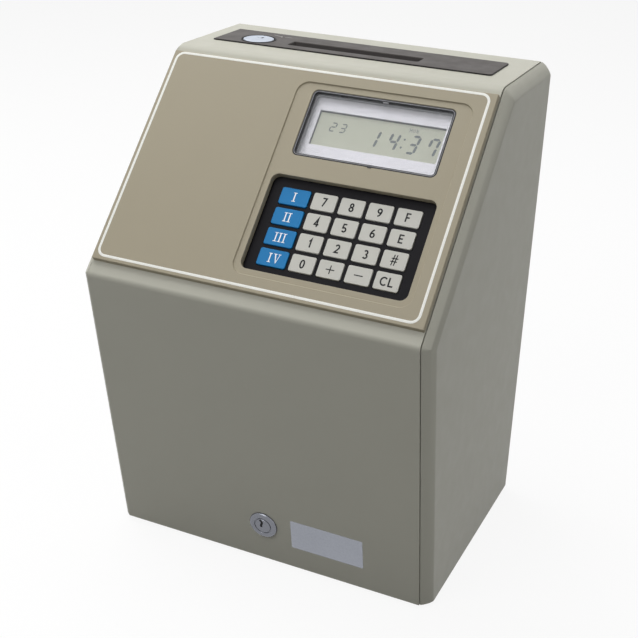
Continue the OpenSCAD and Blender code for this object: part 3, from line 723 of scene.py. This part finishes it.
def face_panel():
    """Face panel: rings of its rounded outline up and over the edge, a soft step down into the recess,
    and round-edged walls at the window and the keypad. Flat fills close the faces between them."""
    s = bpy.context.scene.time_clock_panel
    surface = Surface()
    under, skirt_foot = mm(0.02, -2.3)
    edge = soft_edge(s.edge, s.proud, 6) + (s.draft, 0)
    outer = box_rings(SLOPE, PANEL, s.corner, [(0, under), *edge])
    t = np.linspace(0, 1, 9)
    fall = s.recess_depth * (1 - np.cos(math.pi * t)) / 2
    steps = np.column_stack([(t - 0.5) * s.recess_step, s.proud - fall])
    recess = box_rings(SLOPE, RECESS, s.recess_corner, steps)
    over = soft_edge(s.opening_edge, s.proud - s.recess_depth)[::-1] * (-1, 1)
    window = box_rings(SLOPE, WINDOW, WINDOW_CORNER, [*over, (0, under)])
    skirt = [(0, skirt_foot), (-s.skirt, skirt_foot), (-s.skirt, under)]
    keypad = box_rings(SLOPE, KEYPAD, KEYPAD_CORNER, [*over, *skirt])
    for rings in (outer, recess, window, keypad):
        surface.grid(rings)
    surface.fill(outer[-1], recess[0])
    surface.fill(recess[-1], window[0], keypad[0])
    surface.fill(outer[0], window[-1], keypad[-1])
    return surface


def band(surface, box, radius, width, h, rise):
    """Raised line round a box on the slope: its section is a flat arch of that width and rise."""
    a = np.linspace(0, math.pi, 7)
    rings = box_rings(SLOPE, box, radius, np.column_stack([-0.5 * width * np.cos(a), h + rise * np.sin(a)]))
    surface.grid(rings + rings[:1])


class TIMECLOCK_OT_panel(bpy.types.Operator):
    """Build the face panel with its light border line"""

    bl_idname = "timeclock.panel"
    bl_label = "Face panel"

    def execute(self, context):
        sizes = context.scene.time_clock_panel
        piece("panel", face_panel(), "panel", "cover", ["face_panel"])
        line = Surface()
        band(line, STRIPE, 5.5 * MM, sizes.stripe, h=sizes.proud - 0.02 * MM, rise=0.12 * MM)
        piece("panel_stripe", line, "stripe", "cover")
        return {"FINISHED"}


# Window and display

# Bars of each figure, and the bars' ends in shares of a figure's width and height
SEGMENTS = {"1": "bc", "2": "abged", "3": "abgcd", "4": "fgbc", "7": "fabc"}
SEGMENT_ENDS = {
    "a": [(0, 1), (1, 1)], "g": [(0, 0.5), (1, 0.5)], "d": [(0, 0), (1, 0)], "f": [(0, 0.5), (0, 1)],
    "b": [(1, 0.5), (1, 1)], "e": [(0, 0), (0, 0.5)], "c": [(1, 0), (1, 0.5)],
}
# Width, height and thickness of the figures, the height of their feet, and each figure's left side
TIME_FIGURES = (mm(5.0, 12.0, 1.75), 124.8, {"1": 39.2, "4": 52.6, "3": 66.2, "7": 79.0})
DATE_FIGURES = (mm(3.4, 5.9, 0.85), 131.6, {"2": 11.0, "3": 17.9})
SLANT = 0.16


def segment(start, end, thick):
    """Six-cornered bar from one point to another, pointed at both ends."""
    along = (end - start) / np.linalg.norm(end - start)
    across = np.array([-along[1], along[0]]) * thick / 2
    tip = along * thick / 2
    right = [start + tip - across, end - tip - across]
    left = [end - tip + across, start + tip + across]
    return np.array([start, *right, end, *left])


def digit_bars(figure, width, height, thick):
    """Bars of a seven-bar figure about its lower left corner, leaning right."""
    gap = 0.14 * thick
    bars = []
    for name in SEGMENTS[figure]:
        p, q = np.array(SEGMENT_ENDS[name]) * (width, height)
        along = (q - p) / np.linalg.norm(q - p)
        bar = segment(p + gap * along, q - gap * along, thick)
        bar[:, 0] += SLANT * bar[:, 1]
        bars.append(bar)
    return bars


def flat_bars(surface, bars, spot, h, rise):
    """Thin plates of the given outlines on the slope, moved to a spot."""
    for bar in bars:
        surface.plate(SLOPE, bar + spot, h, h + rise)


class TIMECLOCK_OT_display(bpy.types.Operator):
    """Build the window with its gasket, its light bead and rim that are painted highlights, and the
    display's dark bars of painted shadow along its left and top edges and its marks
    """

    bl_idname = "timeclock.display"
    bl_label = "Window and display"

    def execute(self, context):
        self.window()
        # Dark bars along the display's left and top edges only: painted shadow of the bezel's opening.
        border = Surface()
        left, foot, right, head = DISPLAY
        for box in ([left, foot, left + 0.35 * MM, head], [left, head - 0.6 * MM, right, head]):
            border.plate(SLOPE, corners(box), GLASS_TOP, GLASS_TOP + 0.5 * MM)
        piece("display_border", border, "gasket", "chassis", even=False)
        self.marks()
        return {"FINISHED"}

    def window(self):
        """Dark gasket, a light bead along its top that is a painted highlight, the lens, and a thin light
        rim under the lens that is a painted highlight of its edge. The lengths that follow a box are its
        corner, a frame's thickness, the low and the high side, and the soft edge."""
        gasket, bead, lens, rim = (Surface() for _ in range(4))
        outer, line, inner, under = (WINDOW + INWARD * inset for inset in mm(0.03, 0.95, 1.9, 1.7))
        gasket.ring_frame(SLOPE, outer, *mm(4, 1.85, -1.2, 1.75, 0.4))
        gasket.slab(SLOPE, mm(47.8, 106.9, 50.6, 107.7), *mm(0.25, 1.9, 2.3, 0.1), chords=3)
        piece("window_gasket", gasket, "gasket", "cover")
        # The bead: a light grey ring along the middle of the gasket's top, a painted highlight of its
        # rounded top.
        band(bead, line, 3.2 * MM, width=0.4 * MM, h=1.72 * MM, rise=0.12 * MM)
        bead.slab(SLOPE, mm(43.2, 153.5, 47.0, 154.3), *mm(0.25, 0.45, 1.5, 0.15), chords=3)
        piece("window_bead", bead, "rim", "cover")
        lens.slab(SLOPE, inner, *mm(2.1, -1.1, 0.4, 0.2))
        piece("window_lens", lens, "lens", "cover", ["display_window"])
        # The rim: a light grey ring just under the lens edge, a painted highlight of that edge.
        rim.ring_frame(SLOPE, under, *mm(2.4, 0.5, -3.2, -1.15, 0.15))
        piece("window_rim", rim, "rim", "cover")

    def marks(self):
        """Time, day of the month, colon and the faint name of the day on the display."""
        marks = Surface()
        for size, low, figures in (TIME_FIGURES, DATE_FIGURES):
            for figure, u in figures.items():
                flat_bars(marks, digit_bars(figure, *size), mm(u, low), GLASS_TOP, MARK_RISE)
        for v in (127.8, 133.6):
            dot = circle(mm(61.6 + SLANT * (v - 124.6), v), 0.75 * MM, 12)
            marks.plate(SLOPE, dot, GLASS_TOP, GLASS_TOP + MARK_RISE)
        piece("display_marks", marks, "segments", "chassis", even=False)
        day = Surface()
        for sign, u in (("M", 64.2), ("O", 66.6), ("N", 68.8)):
            for line in FIGURES[sign]:
                points = np.asarray(line) * 2.5 * MM + mm(u, 139.2)
                stroke(day, SLOPE, points, 0.4 * MM, GLASS_TOP, MARK_RISE)
        piece("display_day", day, "faint_segments", "chassis", even=False)


# Keys, named as their nodes are, row by row

KEYS = "i 7 8 9 f ii 4 5 6 e iii 1 2 3 hash iv 0 plus minus cl".split()
SIGNS = {"hash": "#", "plus": "+", "minus": "-", "cl": "C", "f": "F", "e": "E"}
NUMERALS = {"i": (1, False), "ii": (2, False), "iii": (3, False), "iv": (1, True)}


def key_box(node):
    """Outline of a key node on the slope, less the flange under the plate."""
    flange = 0.9 * MM
    points = np.array([v.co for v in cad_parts[node].data.vertices]) - SLOPE.origin
    uv = points @ np.column_stack([SLOPE.across, SLOPE.up])
    return np.concatenate([uv.min(axis=0) + flange, uv.max(axis=0) - flange])


def key_cap(node, sizes):
    """Key cap over a node: rings of its round-cornered outline up the wall and over the edge, and a
    shallow dish in the top, deepest at the middle."""
    box = key_box(node)
    half = min(box[2:] - box[:2]) / 2
    share = np.array([0.15, 0.35, 0.6, 0.85])
    dish = np.column_stack([sizes.edge + share * (half - sizes.edge),
                            KEY_TOP - sizes.dish * (1 - (1 - share) ** 2)])
    surface = Surface()
    steps = [(0, KEY_FOOT), *soft_edge(sizes.edge, KEY_TOP, 6), *dish]
    surface.capped(box_rings(SLOPE, box, sizes.corner, steps))
    return surface


def arc(u, v, ru, rv, start, end, count=14):
    """Points on an ellipse round (u, v), from one angle to another in degrees."""
    a = np.radians(np.linspace(start, end, count))
    return np.stack([u + ru * np.cos(a), v + rv * np.sin(a)], axis=1)


def loop(u, v, ru, rv, count=21):
    """Points all round an ellipse."""
    return arc(u, v, ru, rv, 90, 450, count)


# Middle lines of the printed figures, in letter heights from the lower left corner
FIGURES = {
    "0": [loop(0.28, 0.5, 0.20, 0.42, 29)],
    "1": [[(0.06, 0.70), (0.17, 0.74), (0.26, 0.90), (0.26, 0.0)]],
    "2": [[*arc(0.27, 0.68, 0.19, 0.24, 165, -30), (0.07, 0.08), (0.50, 0.08)]],
    "3": [arc(0.26, 0.71, 0.18, 0.21, 150, -90), arc(0.26, 0.29, 0.21, 0.21, 90, -150)],
    "4": [[(0.54, 0.27), (0.06, 0.27), (0.36, 0.92), (0.36, 0.0)]],
    "5": [[(0.47, 0.92), (0.14, 0.92), (0.10, 0.50), *arc(0.27, 0.31, 0.20, 0.23, 125, -150)]],
    "6": [loop(0.28, 0.30, 0.20, 0.22), arc(0.50, 0.30, 0.42, 0.62, 102, 180)],
    "7": [[(0.06, 0.92), (0.50, 0.92), (0.20, 0.0)]],
    "8": [loop(0.27, 0.72, 0.16, 0.20), loop(0.27, 0.29, 0.20, 0.21)],
    "9": [loop(0.28, 0.70, 0.20, 0.22), arc(0.06, 0.70, 0.42, 0.62, -78, 0)],
    "F": [[(0.10, 0.0), (0.10, 0.92), (0.52, 0.92)], [(0.10, 0.47), (0.46, 0.47)]],
    "E": [[(0.54, 0.92), (0.10, 0.92), (0.10, 0.08), (0.54, 0.08)], [(0.10, 0.51), (0.48, 0.51)]],
    "C": [arc(0.42, 0.5, 0.34, 0.42, 42, 318, 21), [(0.98, 1.0), (0.98, 0.08), (1.46, 0.08)]],
    "M": [[(0.08, 0.0), (0.08, 0.95), (0.38, 0.4), (0.68, 0.95), (0.68, 0.0)]],
    "O": [loop(0.3, 0.5, 0.24, 0.42)],
    "N": [[(0.08, 0.0), (0.08, 0.95), (0.5, 0.05), (0.5, 1.0)]],
    "#": [[(0.22, -0.10), (0.36, 1.10)], [(0.50, -0.10), (0.64, 1.10)],
          [(0.04, 0.33), (0.76, 0.33)], [(0.10, 0.67), (0.82, 0.67)]],
    "+": [[(0.0, 0.5), (0.96, 0.5)], [(0.48, 0.02), (0.48, 0.98)]],
    "-": [[(0.0, 0.5), (0.96, 0.5)]],
}


def strip_sides(line, width):
    """Left and right sides of a strip along a line of points, with mitred bends."""
    p = np.asarray(line, float)
    along = np.diff(p, axis=0)
    along /= np.linalg.norm(along, axis=1, keepdims=True)
    ring = np.allclose(p[0], p[-1])
    before = np.concatenate([along[-1:] if ring else along[:1], along])
    after = np.concatenate([along, along[:1] if ring else along[-1:]])
    middle = before + after
    across = np.stack([-middle[:, 1], middle[:, 0]], axis=1) / (1 + (before * after).sum(axis=1))[:, None]
    return p + across * width / 2, p - across * width / 2


def stroke(surface, place, line, width, h, rise):
    """Flat strip along a line of points, with square ends unless it is a loop."""
    left, right = strip_sides(line, width)
    rings = [place(left, h), place(left, h + rise), place(right, h + rise), place(right, h)]
    rings = np.stack(rings, axis=1)
    surface.grid(rings)
    if not np.allclose(line[0], line[-1]):
        surface.fill(rings[0])
        surface.fill(rings[-1])


def figure_print(surface, sign, middle, sizes, h):
    """Printed figure of a light key about the middle of its top. The plain signs have thinner strokes."""
    lines = [np.asarray(line) * sizes.letter for line in FIGURES[sign]]
    points = np.concatenate(lines)
    centre = (points.max(axis=0) + points.min(axis=0)) / 2
    width = sizes.stroke * (0.68 if sign in "#+-" else 1.0)
    for line in lines:
        stroke(surface, SLOPE, line - centre + middle, width, h, PRINT_RISE)


def roman_bars(count, five):
    """Outlines of a serif numeral one high, about its middle: stems with thin feet and heads, and a
    five as two slanted strokes."""
    stem, thin, foot, pitch = 0.125, 0.07, 0.38, 0.46
    low, high = -0.5, 0.5 - thin
    start = -(pitch * (count - 1) + (0.62 if five else 0)) / 2
    bars = []
    for centre in start + pitch * np.arange(count):
        bars.append(corners([centre - stem / 2, low + thin, centre + stem / 2, high]))
        bars += [corners([centre - foot / 2, v, centre + foot / 2, v + thin]) for v in (low, high)]
    if five:
        left = start + count * pitch - 0.02
        right, point = left + 0.56, left + 0.3
        strokes = [(point - 0.02, point + 0.05, left + 0.16, left + 0.01),
                   (point - 0.01, point + 0.05, right + 0.02, right - 0.04)]
        heads = [(left - 0.08, left + 0.26), (right - 0.16, right + 0.13)]
        bars += [np.column_stack([ends, (low, low, high, high)]) for ends in strokes]
        bars += [corners([start_u, high, end_u, high + thin]) for start_u, end_u in heads]
    return bars


class TIMECLOCK_OT_keys(bpy.types.Operator):
    """Build the twenty key caps and their print"""

    bl_idname = "timeclock.keys"
    bl_label = "Keys"

    def execute(self, context):
        for name in KEYS:
            self.key(context.scene.time_clock_keys, name)
        return {"FINISHED"}

    def key(self, sizes, name):
        """One cap and the print on it."""
        node = "key_" + name
        body = node + "_body"
        blue = name in NUMERALS
        tone, ink = ("blue", "white_ink") if blue else ("grey", "black_ink")
        piece(node + "_cap", key_cap(node, sizes), tone + "_key", body, [node])
        box = key_box(node)
        middle = (box[:2] + box[2:]) / 2
        h = KEY_TOP - sizes.dish - 0.005 * MM
        lettering = Surface()
        if blue:
            bars = [bar * sizes.numeral for bar in roman_bars(*NUMERALS[name])]
            flat_bars(lettering, bars, middle, h, PRINT_RISE)
        else:
            figure_print(lettering, SIGNS.get(name, name), middle, sizes, h)
        piece(node + "_print", lettering, ink, body, even=False)


# Top plate and key switch


def top_plate():
    """Top plate: rings over its outer edge, a flat with the slot's mouth and the switch's hole, and
    rings down the funnel to the throat. The underside follows the same rings a shell lower."""
    surface = Surface()
    seal, lap, ledge, shell, rim = mm(0.35, 1.4, 0.3, 2, 0.25)
    edge = soft_edge(rim, PLATE_PROUD) + (seal, 0)
    steps = [(lap, PLATE_UNDER), (lap, ledge), (seal + 0.1 * MM, ledge), *edge]
    outer = box_rings(TOP, TOP_PLATE, PLATE_CORNERS, steps)
    surface.grid(outer)
    r, soft = mm(12.3, 0.3)
    hole = [(r + soft, PLATE_PROUD), (r + 0.3 * soft, PLATE_PROUD - 0.1 * soft), (r, PLATE_PROUD - soft),
            (r, PLATE_UNDER)]
    surface.lathe(TOP, SWITCH, hole)
    mouth = [TOP(round_box(MOUTH, 1.5 * MM, -0.3 * MM), PLATE_PROUD)]
    for share in np.linspace(0, 1, 5):
        box = MOUTH + share * (THROAT - MOUTH)
        mouth.append(TOP(round_box(box, (1.5 - share) * MM), PLATE_PROUD - (0.35 + 5 * share) * MM))
    mouth.append(TOP(round_box(THROAT, 0.5 * MM), FUNNEL_LOW))
    funnel = box_rings(TOP, MOUTH, 3 * MM, [(-shell, FUNNEL_LOW), (-shell, PLATE_UNDER)])
    surface.grid(mouth + funnel)
    surface.fill(outer[-1], mouth[0], TOP(circle(SWITCH, r + soft), PLATE_PROUD))
    surface.fill(outer[0], funnel[-1], TOP(circle(SWITCH, r), PLATE_UNDER))
    return surface


class TIMECLOCK_OT_top(bpy.types.Operator):
    """Build the top plate with a dark ring of painted shade under its edge and a dark lining of painted
    shade down its slot, and the key switch's disc, collar and ticks
    """

    bl_idname = "timeclock.top"
    bl_label = "Top plate"

    def execute(self, context):
        piece("top_trim", top_plate(), "dark_plate", "cover", ["top_plate"])
        seal, ticks, collar, slot_shadow = (Surface() for _ in range(4))
        # A dark ring under the plate's edge: painted shade, standing for the proud plate's side wall in
        # shadow.
        section = mm((0.15, 0.02), (0.05, 0.1), (0.05, 0.7), (0.15, 0.8), (0.42, 0.8), (0.42, 0.02),
                     (0.15, 0.02))
        seal.grid(box_rings(TOP, TOP_PLATE, PLATE_CORNERS, section))
        piece("top_seal", seal, "seal", "cover")
        lines = mm([(3.0, 18.6), (11.3, 15.2)], [(12.6, 15.6), (18.2, 16.4)], [(9.8, 17.4), (10.8, 13.9)])
        for line in lines:
            stroke(ticks, TOP, line + SWITCH, 0.55 * MM, 0.99 * MM, MARK_RISE)
        piece("switch_ticks", ticks, "tick_ink", "cover", even=False)
        section = mm((12.5, 0.7), (12.5, 1.2), (12.4, 1.34), (11.7, 1.34), (11.6, 1.2), (11.6, 0.3),
                     (12.25, 0.3), (12.5, 0.7))
        collar.lathe(TOP, SWITCH, section, 96)
        piece("switch_collar", collar, "seal", "cover")
        # A dark lining down the slot's funnel: painted shade inside the card slot.
        mouth, throat = (MOUTH, 1.5 * MM), (THROAT, 0.5 * MM)
        steps = [(mouth, 0.02, 0.6), (throat, 0.02, -4.6), (throat, 0.2, -4.6), (mouth, 0.25, 0.6)]
        rings = [TOP(round_box(*box, inset * MM), h * MM) for box, inset, h in steps]
        slot_shadow.grid(rings + rings[:1])
        piece("slot_liner", slot_shadow, "slot_liner", "cover")
        self.disc()
        return {"FINISHED"}

    def disc(self):
        """The key switch's disc with its keyway and a round mark, and a near black plate down in the keyway
        that is painted shade.
        """
        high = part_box("key_switch_rotor")[1].z - Z_TOP
        stem, rim, face = mm(8, 10.9, 9.8)
        stem_low, rim_low, depth = mm(-25.5, -7.4, 3)
        floor = high - 0.12 * MM
        disc, dark = Surface(), Surface()
        profile = [(stem, stem_low), (stem, rim_low), (rim, rim_low), (rim, high - 0.55 * MM),
                   (rim - 0.16 * MM, high - 0.16 * MM), (rim - 0.55 * MM, high), (rim - 0.9 * MM, high),
                   (face, floor)]
        disc.lathe(TOP, SWITCH, profile, 96)
        disc.fill(TOP(circle(SWITCH, stem, 96), stem_low))
        way = round_box(mm(-0.1, 2.4, 1.6, 6.1), 0.5 * MM)
        mark = circle(mm(-2.3, 4.2), 0.65 * MM, 16)
        for hole in (way, mark):
            disc.pit(TOP, hole + SWITCH, floor, floor - depth)
        disc.fill(TOP(circle(SWITCH, face, 96), floor), TOP(way + SWITCH, floor), TOP(mark + SWITCH, floor))
        piece("switch_disc", disc, "switch", "key_switch", ["key_switch_rotor"])
        # A near black plate down in the keyway: painted shade inside the hole.
        dark.plate(TOP, way * 0.995 + SWITCH, floor - 0.4 * MM, floor - depth + 0.1 * MM)
        piece("switch_keyway", dark, "hole_shade_paint", "key_switch", even=False)


# Lock and label


class TIMECLOCK_OT_lock(bpy.types.Operator):
    """Build the lock's rosette and plug, and the bare label plate"""

    bl_idname = "timeclock.lock"
    bl_label = "Lock and label"

    def execute(self, context):
        self.rosette()
        self.plug()
        label = Surface()
        label.slab(FRONT, LABEL, *mm(0.6, 0.01, 0.16, 0.05), chords=4)
        piece("label_plate", label, "label", "cover")
        return {"FINISHED"}

    def rosette(self):
        """Domed rosette with its barrel and bore, and the nut behind the cover."""
        rosette = Surface()
        barrel, bore, nut, back = mm(7.9, 5.96, 13, -20)
        dome = mm((10.6, 0.02), (10.6, 0.5), (10.5, 0.95), (10.2, 1.4), (9.75, 1.72), (9.1, 1.93),
                  (8.2, 1.98), (7.2, 1.9), (6.7, 1.75), (6.52, 1.55), (6.48, 1.2))
        inside = [(bore, 1.15 * MM), (bore, back), (barrel, back), (barrel, dome[0, 1])]
        rosette.lathe(FRONT, LOCK, [*dome, *inside, dome[0]], 96)
        near, far = mm(-2.6, -6)
        section = [(nut, near), (nut, far), (barrel, far), (barrel, near), (nut, near)]
        rosette.lathe(FRONT, LOCK, section, 6)
        piece("lock_rosette", rosette, "lock", "cover", ["lock_body"])

    def plug(self):
        """The plug with its bent keyway, and a near black plate down in the keyway that is painted shade."""
        plug, hole = Surface(), Surface()
        r, soft, face, back, depth = mm(5.9, 0.3, 1.88, -22, -4)
        plug.lathe(FRONT, LOCK, [(r, back), (r, face - soft), (r - soft, face)], 96)
        plug.fill(FRONT(circle(LOCK, r, 96), back))
        way = self.keyway(1.7 * MM)
        plug.pit(FRONT, way, face, depth)
        plug.fill(FRONT(circle(LOCK, r - soft, 96), face), FRONT(way, face))
        piece("lock_face", plug, "lock", "lock", ["lock_plug"])
        # A near black plate down in the keyway: painted shade inside the hole.
        hole.plate(FRONT, self.keyway(1.65 * MM), face - soft, depth + 0.5 * MM)
        piece("lock_keyway", hole, "hole_shade_paint", "lock", even=False)

    def keyway(self, width):
        """Outline of the keyway: a strip of that width along a bent line."""
        line = mm((-1.9, 5.0), (-0.9, 4.4), (-0.1, 3.1), (-0.6, 1.6), (-1.05, 0.2), (-0.8, -1.2))
        left, right = strip_sides(line + LOCK, width)
        return np.concatenate([left, right[::-1]])


# Inside and back


class TIMECLOCK_OT_chassis(bpy.types.Operator):
    """Give every chassis node its finish"""

    bl_idname = "timeclock.chassis"
    bl_label = "Chassis finishes"

    def execute(self, context):
        for name, nodes in NODE_FINISHES.items():
            for node in nodes.split():
                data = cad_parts[node].data
                data.materials.clear()
                data.materials.append(finish(name))
        return {"FINISHED"}


# Stage

CAMERA_AZIMUTH = math.radians(24.47)
CAMERA_ELEVATION = math.radians(24.79)
CAMERA_ROLL = math.radians(1.84)
CAMERA_TARGET = Vector((0, 13.42, 148)) * MM
CAMERA_SLIDE = (-1.96 * MM, 8.72 * MM)
CAMERA_DISTANCE = 866.66 * MM
CAMERA_LENS = 67.96
LAMP_TARGET = Vector((0, 0, 0.17))
WHITE = (1, 1, 1, 1)

# Place, width and power of each lamp
LAMPS = {
    "Top lamp": ((-0.5, 0.25, 1.7), 1.3, 20.5),
    "Left lamp": ((-1.4, 0.1, 1.3), 1.3, 5.5),
    "Front lamp": ((-0.4, -1.4, 1.6), 1.2, 15.5),
    "Right lamp": ((1.7, -0.1, 0.9), 1.2, 5.0),
    "Back lamp": ((1.5, 0.9, 1.0), 1.2, 3.5),
}


def camera():
    """Camera at the photograph's viewing angle: turned about the target, rolled, and slid sideways."""
    a, e, roll = CAMERA_AZIMUTH, CAMERA_ELEVATION, CAMERA_ROLL
    back = Vector((math.sin(a) * math.cos(e), -math.cos(a) * math.cos(e), math.sin(e)))
    right = Vector((math.cos(a), math.sin(a), 0))
    up = back.cross(right)
    across = right * math.cos(roll) + up * math.sin(roll)
    upward = up * math.cos(roll) - right * math.sin(roll)
    data = bpy.data.cameras.new("Camera")
    data.lens = CAMERA_LENS
    data.sensor_width = 36
    data.clip_start, data.clip_end = 0.05, 20
    obj = bpy.data.objects.new("Camera", data)
    turn = Matrix((across, upward, back)).transposed().to_4x4()
    spot = CAMERA_TARGET + across * CAMERA_SLIDE[0] + upward * CAMERA_SLIDE[1] + back * CAMERA_DISTANCE
    obj.matrix_world = Matrix.Translation(spot) @ turn
    return obj


def lamp(name, spot, size, power):
    """Soft square lamp that faces the clock."""
    data = bpy.data.lights.new(name, "AREA")
    data.shape = "SQUARE"
    data.size = size
    data.energy = power
    obj = bpy.data.objects.new(name, data)
    obj.location = spot
    obj.rotation_mode = "QUATERNION"
    obj.rotation_quaternion = (LAMP_TARGET - Vector(spot)).to_track_quat("-Z", "Y")
    return obj


def floor_paint():
    """Pale floor, white to the camera and in gloss, where it keeps the clock's shadow."""
    n = Nodes(bpy.data.materials.new("Pale floor"))
    rays = n.white_rays()
    pale = n.add("MapRange", {"Value": rays, "To Min": 0.32, "To Max": 0.95})
    n.look({"Roughness": 0.9, "Base Color": pale.outputs[0]})
    share = n.add("Math", {0: rays, 1: 0.9}, operation="MULTIPLY")
    glow = n.add("Emission", {"Color": WHITE})
    n.blend(share.outputs[0], n.tree.nodes["Principled BSDF"], glow, "Material Output")
    return n.owner


def studio_world():
    """Faint even light, seen as white by the camera and in gloss."""
    n = Nodes(bpy.data.worlds.new("Studio"))
    fill = n.tree.nodes["Background"]
    fill.inputs["Color"].default_value = WHITE
    fill.inputs["Strength"].default_value = 0.05
    white = n.add("Background", {"Color": WHITE, "Strength": 1.0})
    n.blend(n.white_rays(), fill, white, "World Output")
    return n.owner


class TIMECLOCK_OT_stage(bpy.types.Operator):
    """Build the floor, the lamps, the world and the camera"""

    bl_idname = "timeclock.stage"
    bl_label = "Stage"

    def execute(self, context):
        scene = context.scene
        half = 6.0
        floor = bpy.data.meshes.new("Floor")
        square = corners([-half, -half, half, half])
        floor.from_pydata(np.column_stack([square, np.zeros(4)]), [], [(0, 1, 2, 3)])
        floor.materials.append(floor_paint())
        ground = bpy.data.objects.new("Floor", floor)
        view = camera()
        for obj in [ground, *(lamp(name, *values) for name, values in LAMPS.items()), view]:
            scene.collection.objects.link(obj)
        scene.world = studio_world()
        scene.camera = view
        scene.view_settings.view_transform = "Standard"
        return {"FINISHED"}


# Sidebar and registration

STEPS = ["covers", "panel", "display", "keys", "top", "lock", "chassis", "stage"]
GROUPS = {
    "time_clock_case": CaseSizes,
    "time_clock_panel": PanelSizes,
    "time_clock_keys": KeySizes,
    "time_clock_finishes": Finishes,
}


class TIMECLOCK_PT_sidebar(bpy.types.Panel):
    """Time clock pieces and their sizes"""

    bl_label = "Time Clock"
    bl_idname = "TIMECLOCK_PT_sidebar"
    bl_space_type = "VIEW_3D"
    bl_region_type = "UI"
    bl_category = "Time Clock"

    def draw(self, context):
        layout = self.layout
        for step in STEPS:
            layout.operator("timeclock." + step)
        for group in GROUPS:
            settings = getattr(context.scene, group)
            box = layout.box()
            box.label(text=type(settings).__name__)
            for key in settings.__annotations__:
                box.prop(settings, key)


CLASSES = [
    *GROUPS.values(),
    TIMECLOCK_OT_covers,
    TIMECLOCK_OT_panel,
    TIMECLOCK_OT_display,
    TIMECLOCK_OT_keys,
    TIMECLOCK_OT_top,
    TIMECLOCK_OT_lock,
    TIMECLOCK_OT_chassis,
    TIMECLOCK_OT_stage,
    TIMECLOCK_PT_sidebar,
]


def register():
    """Adds the classes and the scene's settings."""
    for cls in CLASSES:
        bpy.utils.register_class(cls)
    for name, group in GROUPS.items():
        setattr(bpy.types.Scene, name, PointerProperty(type=group))


def unregister():
    """Takes the settings and the classes away again."""
    for name in GROUPS:
        delattr(bpy.types.Scene, name)
    for cls in reversed(CLASSES):
        bpy.utils.unregister_class(cls)


def main():
    """Builds every piece in order."""
    register()
    for step in STEPS:
        getattr(bpy.ops.timeclock, step)()


if __name__ == "__main__":
    main()
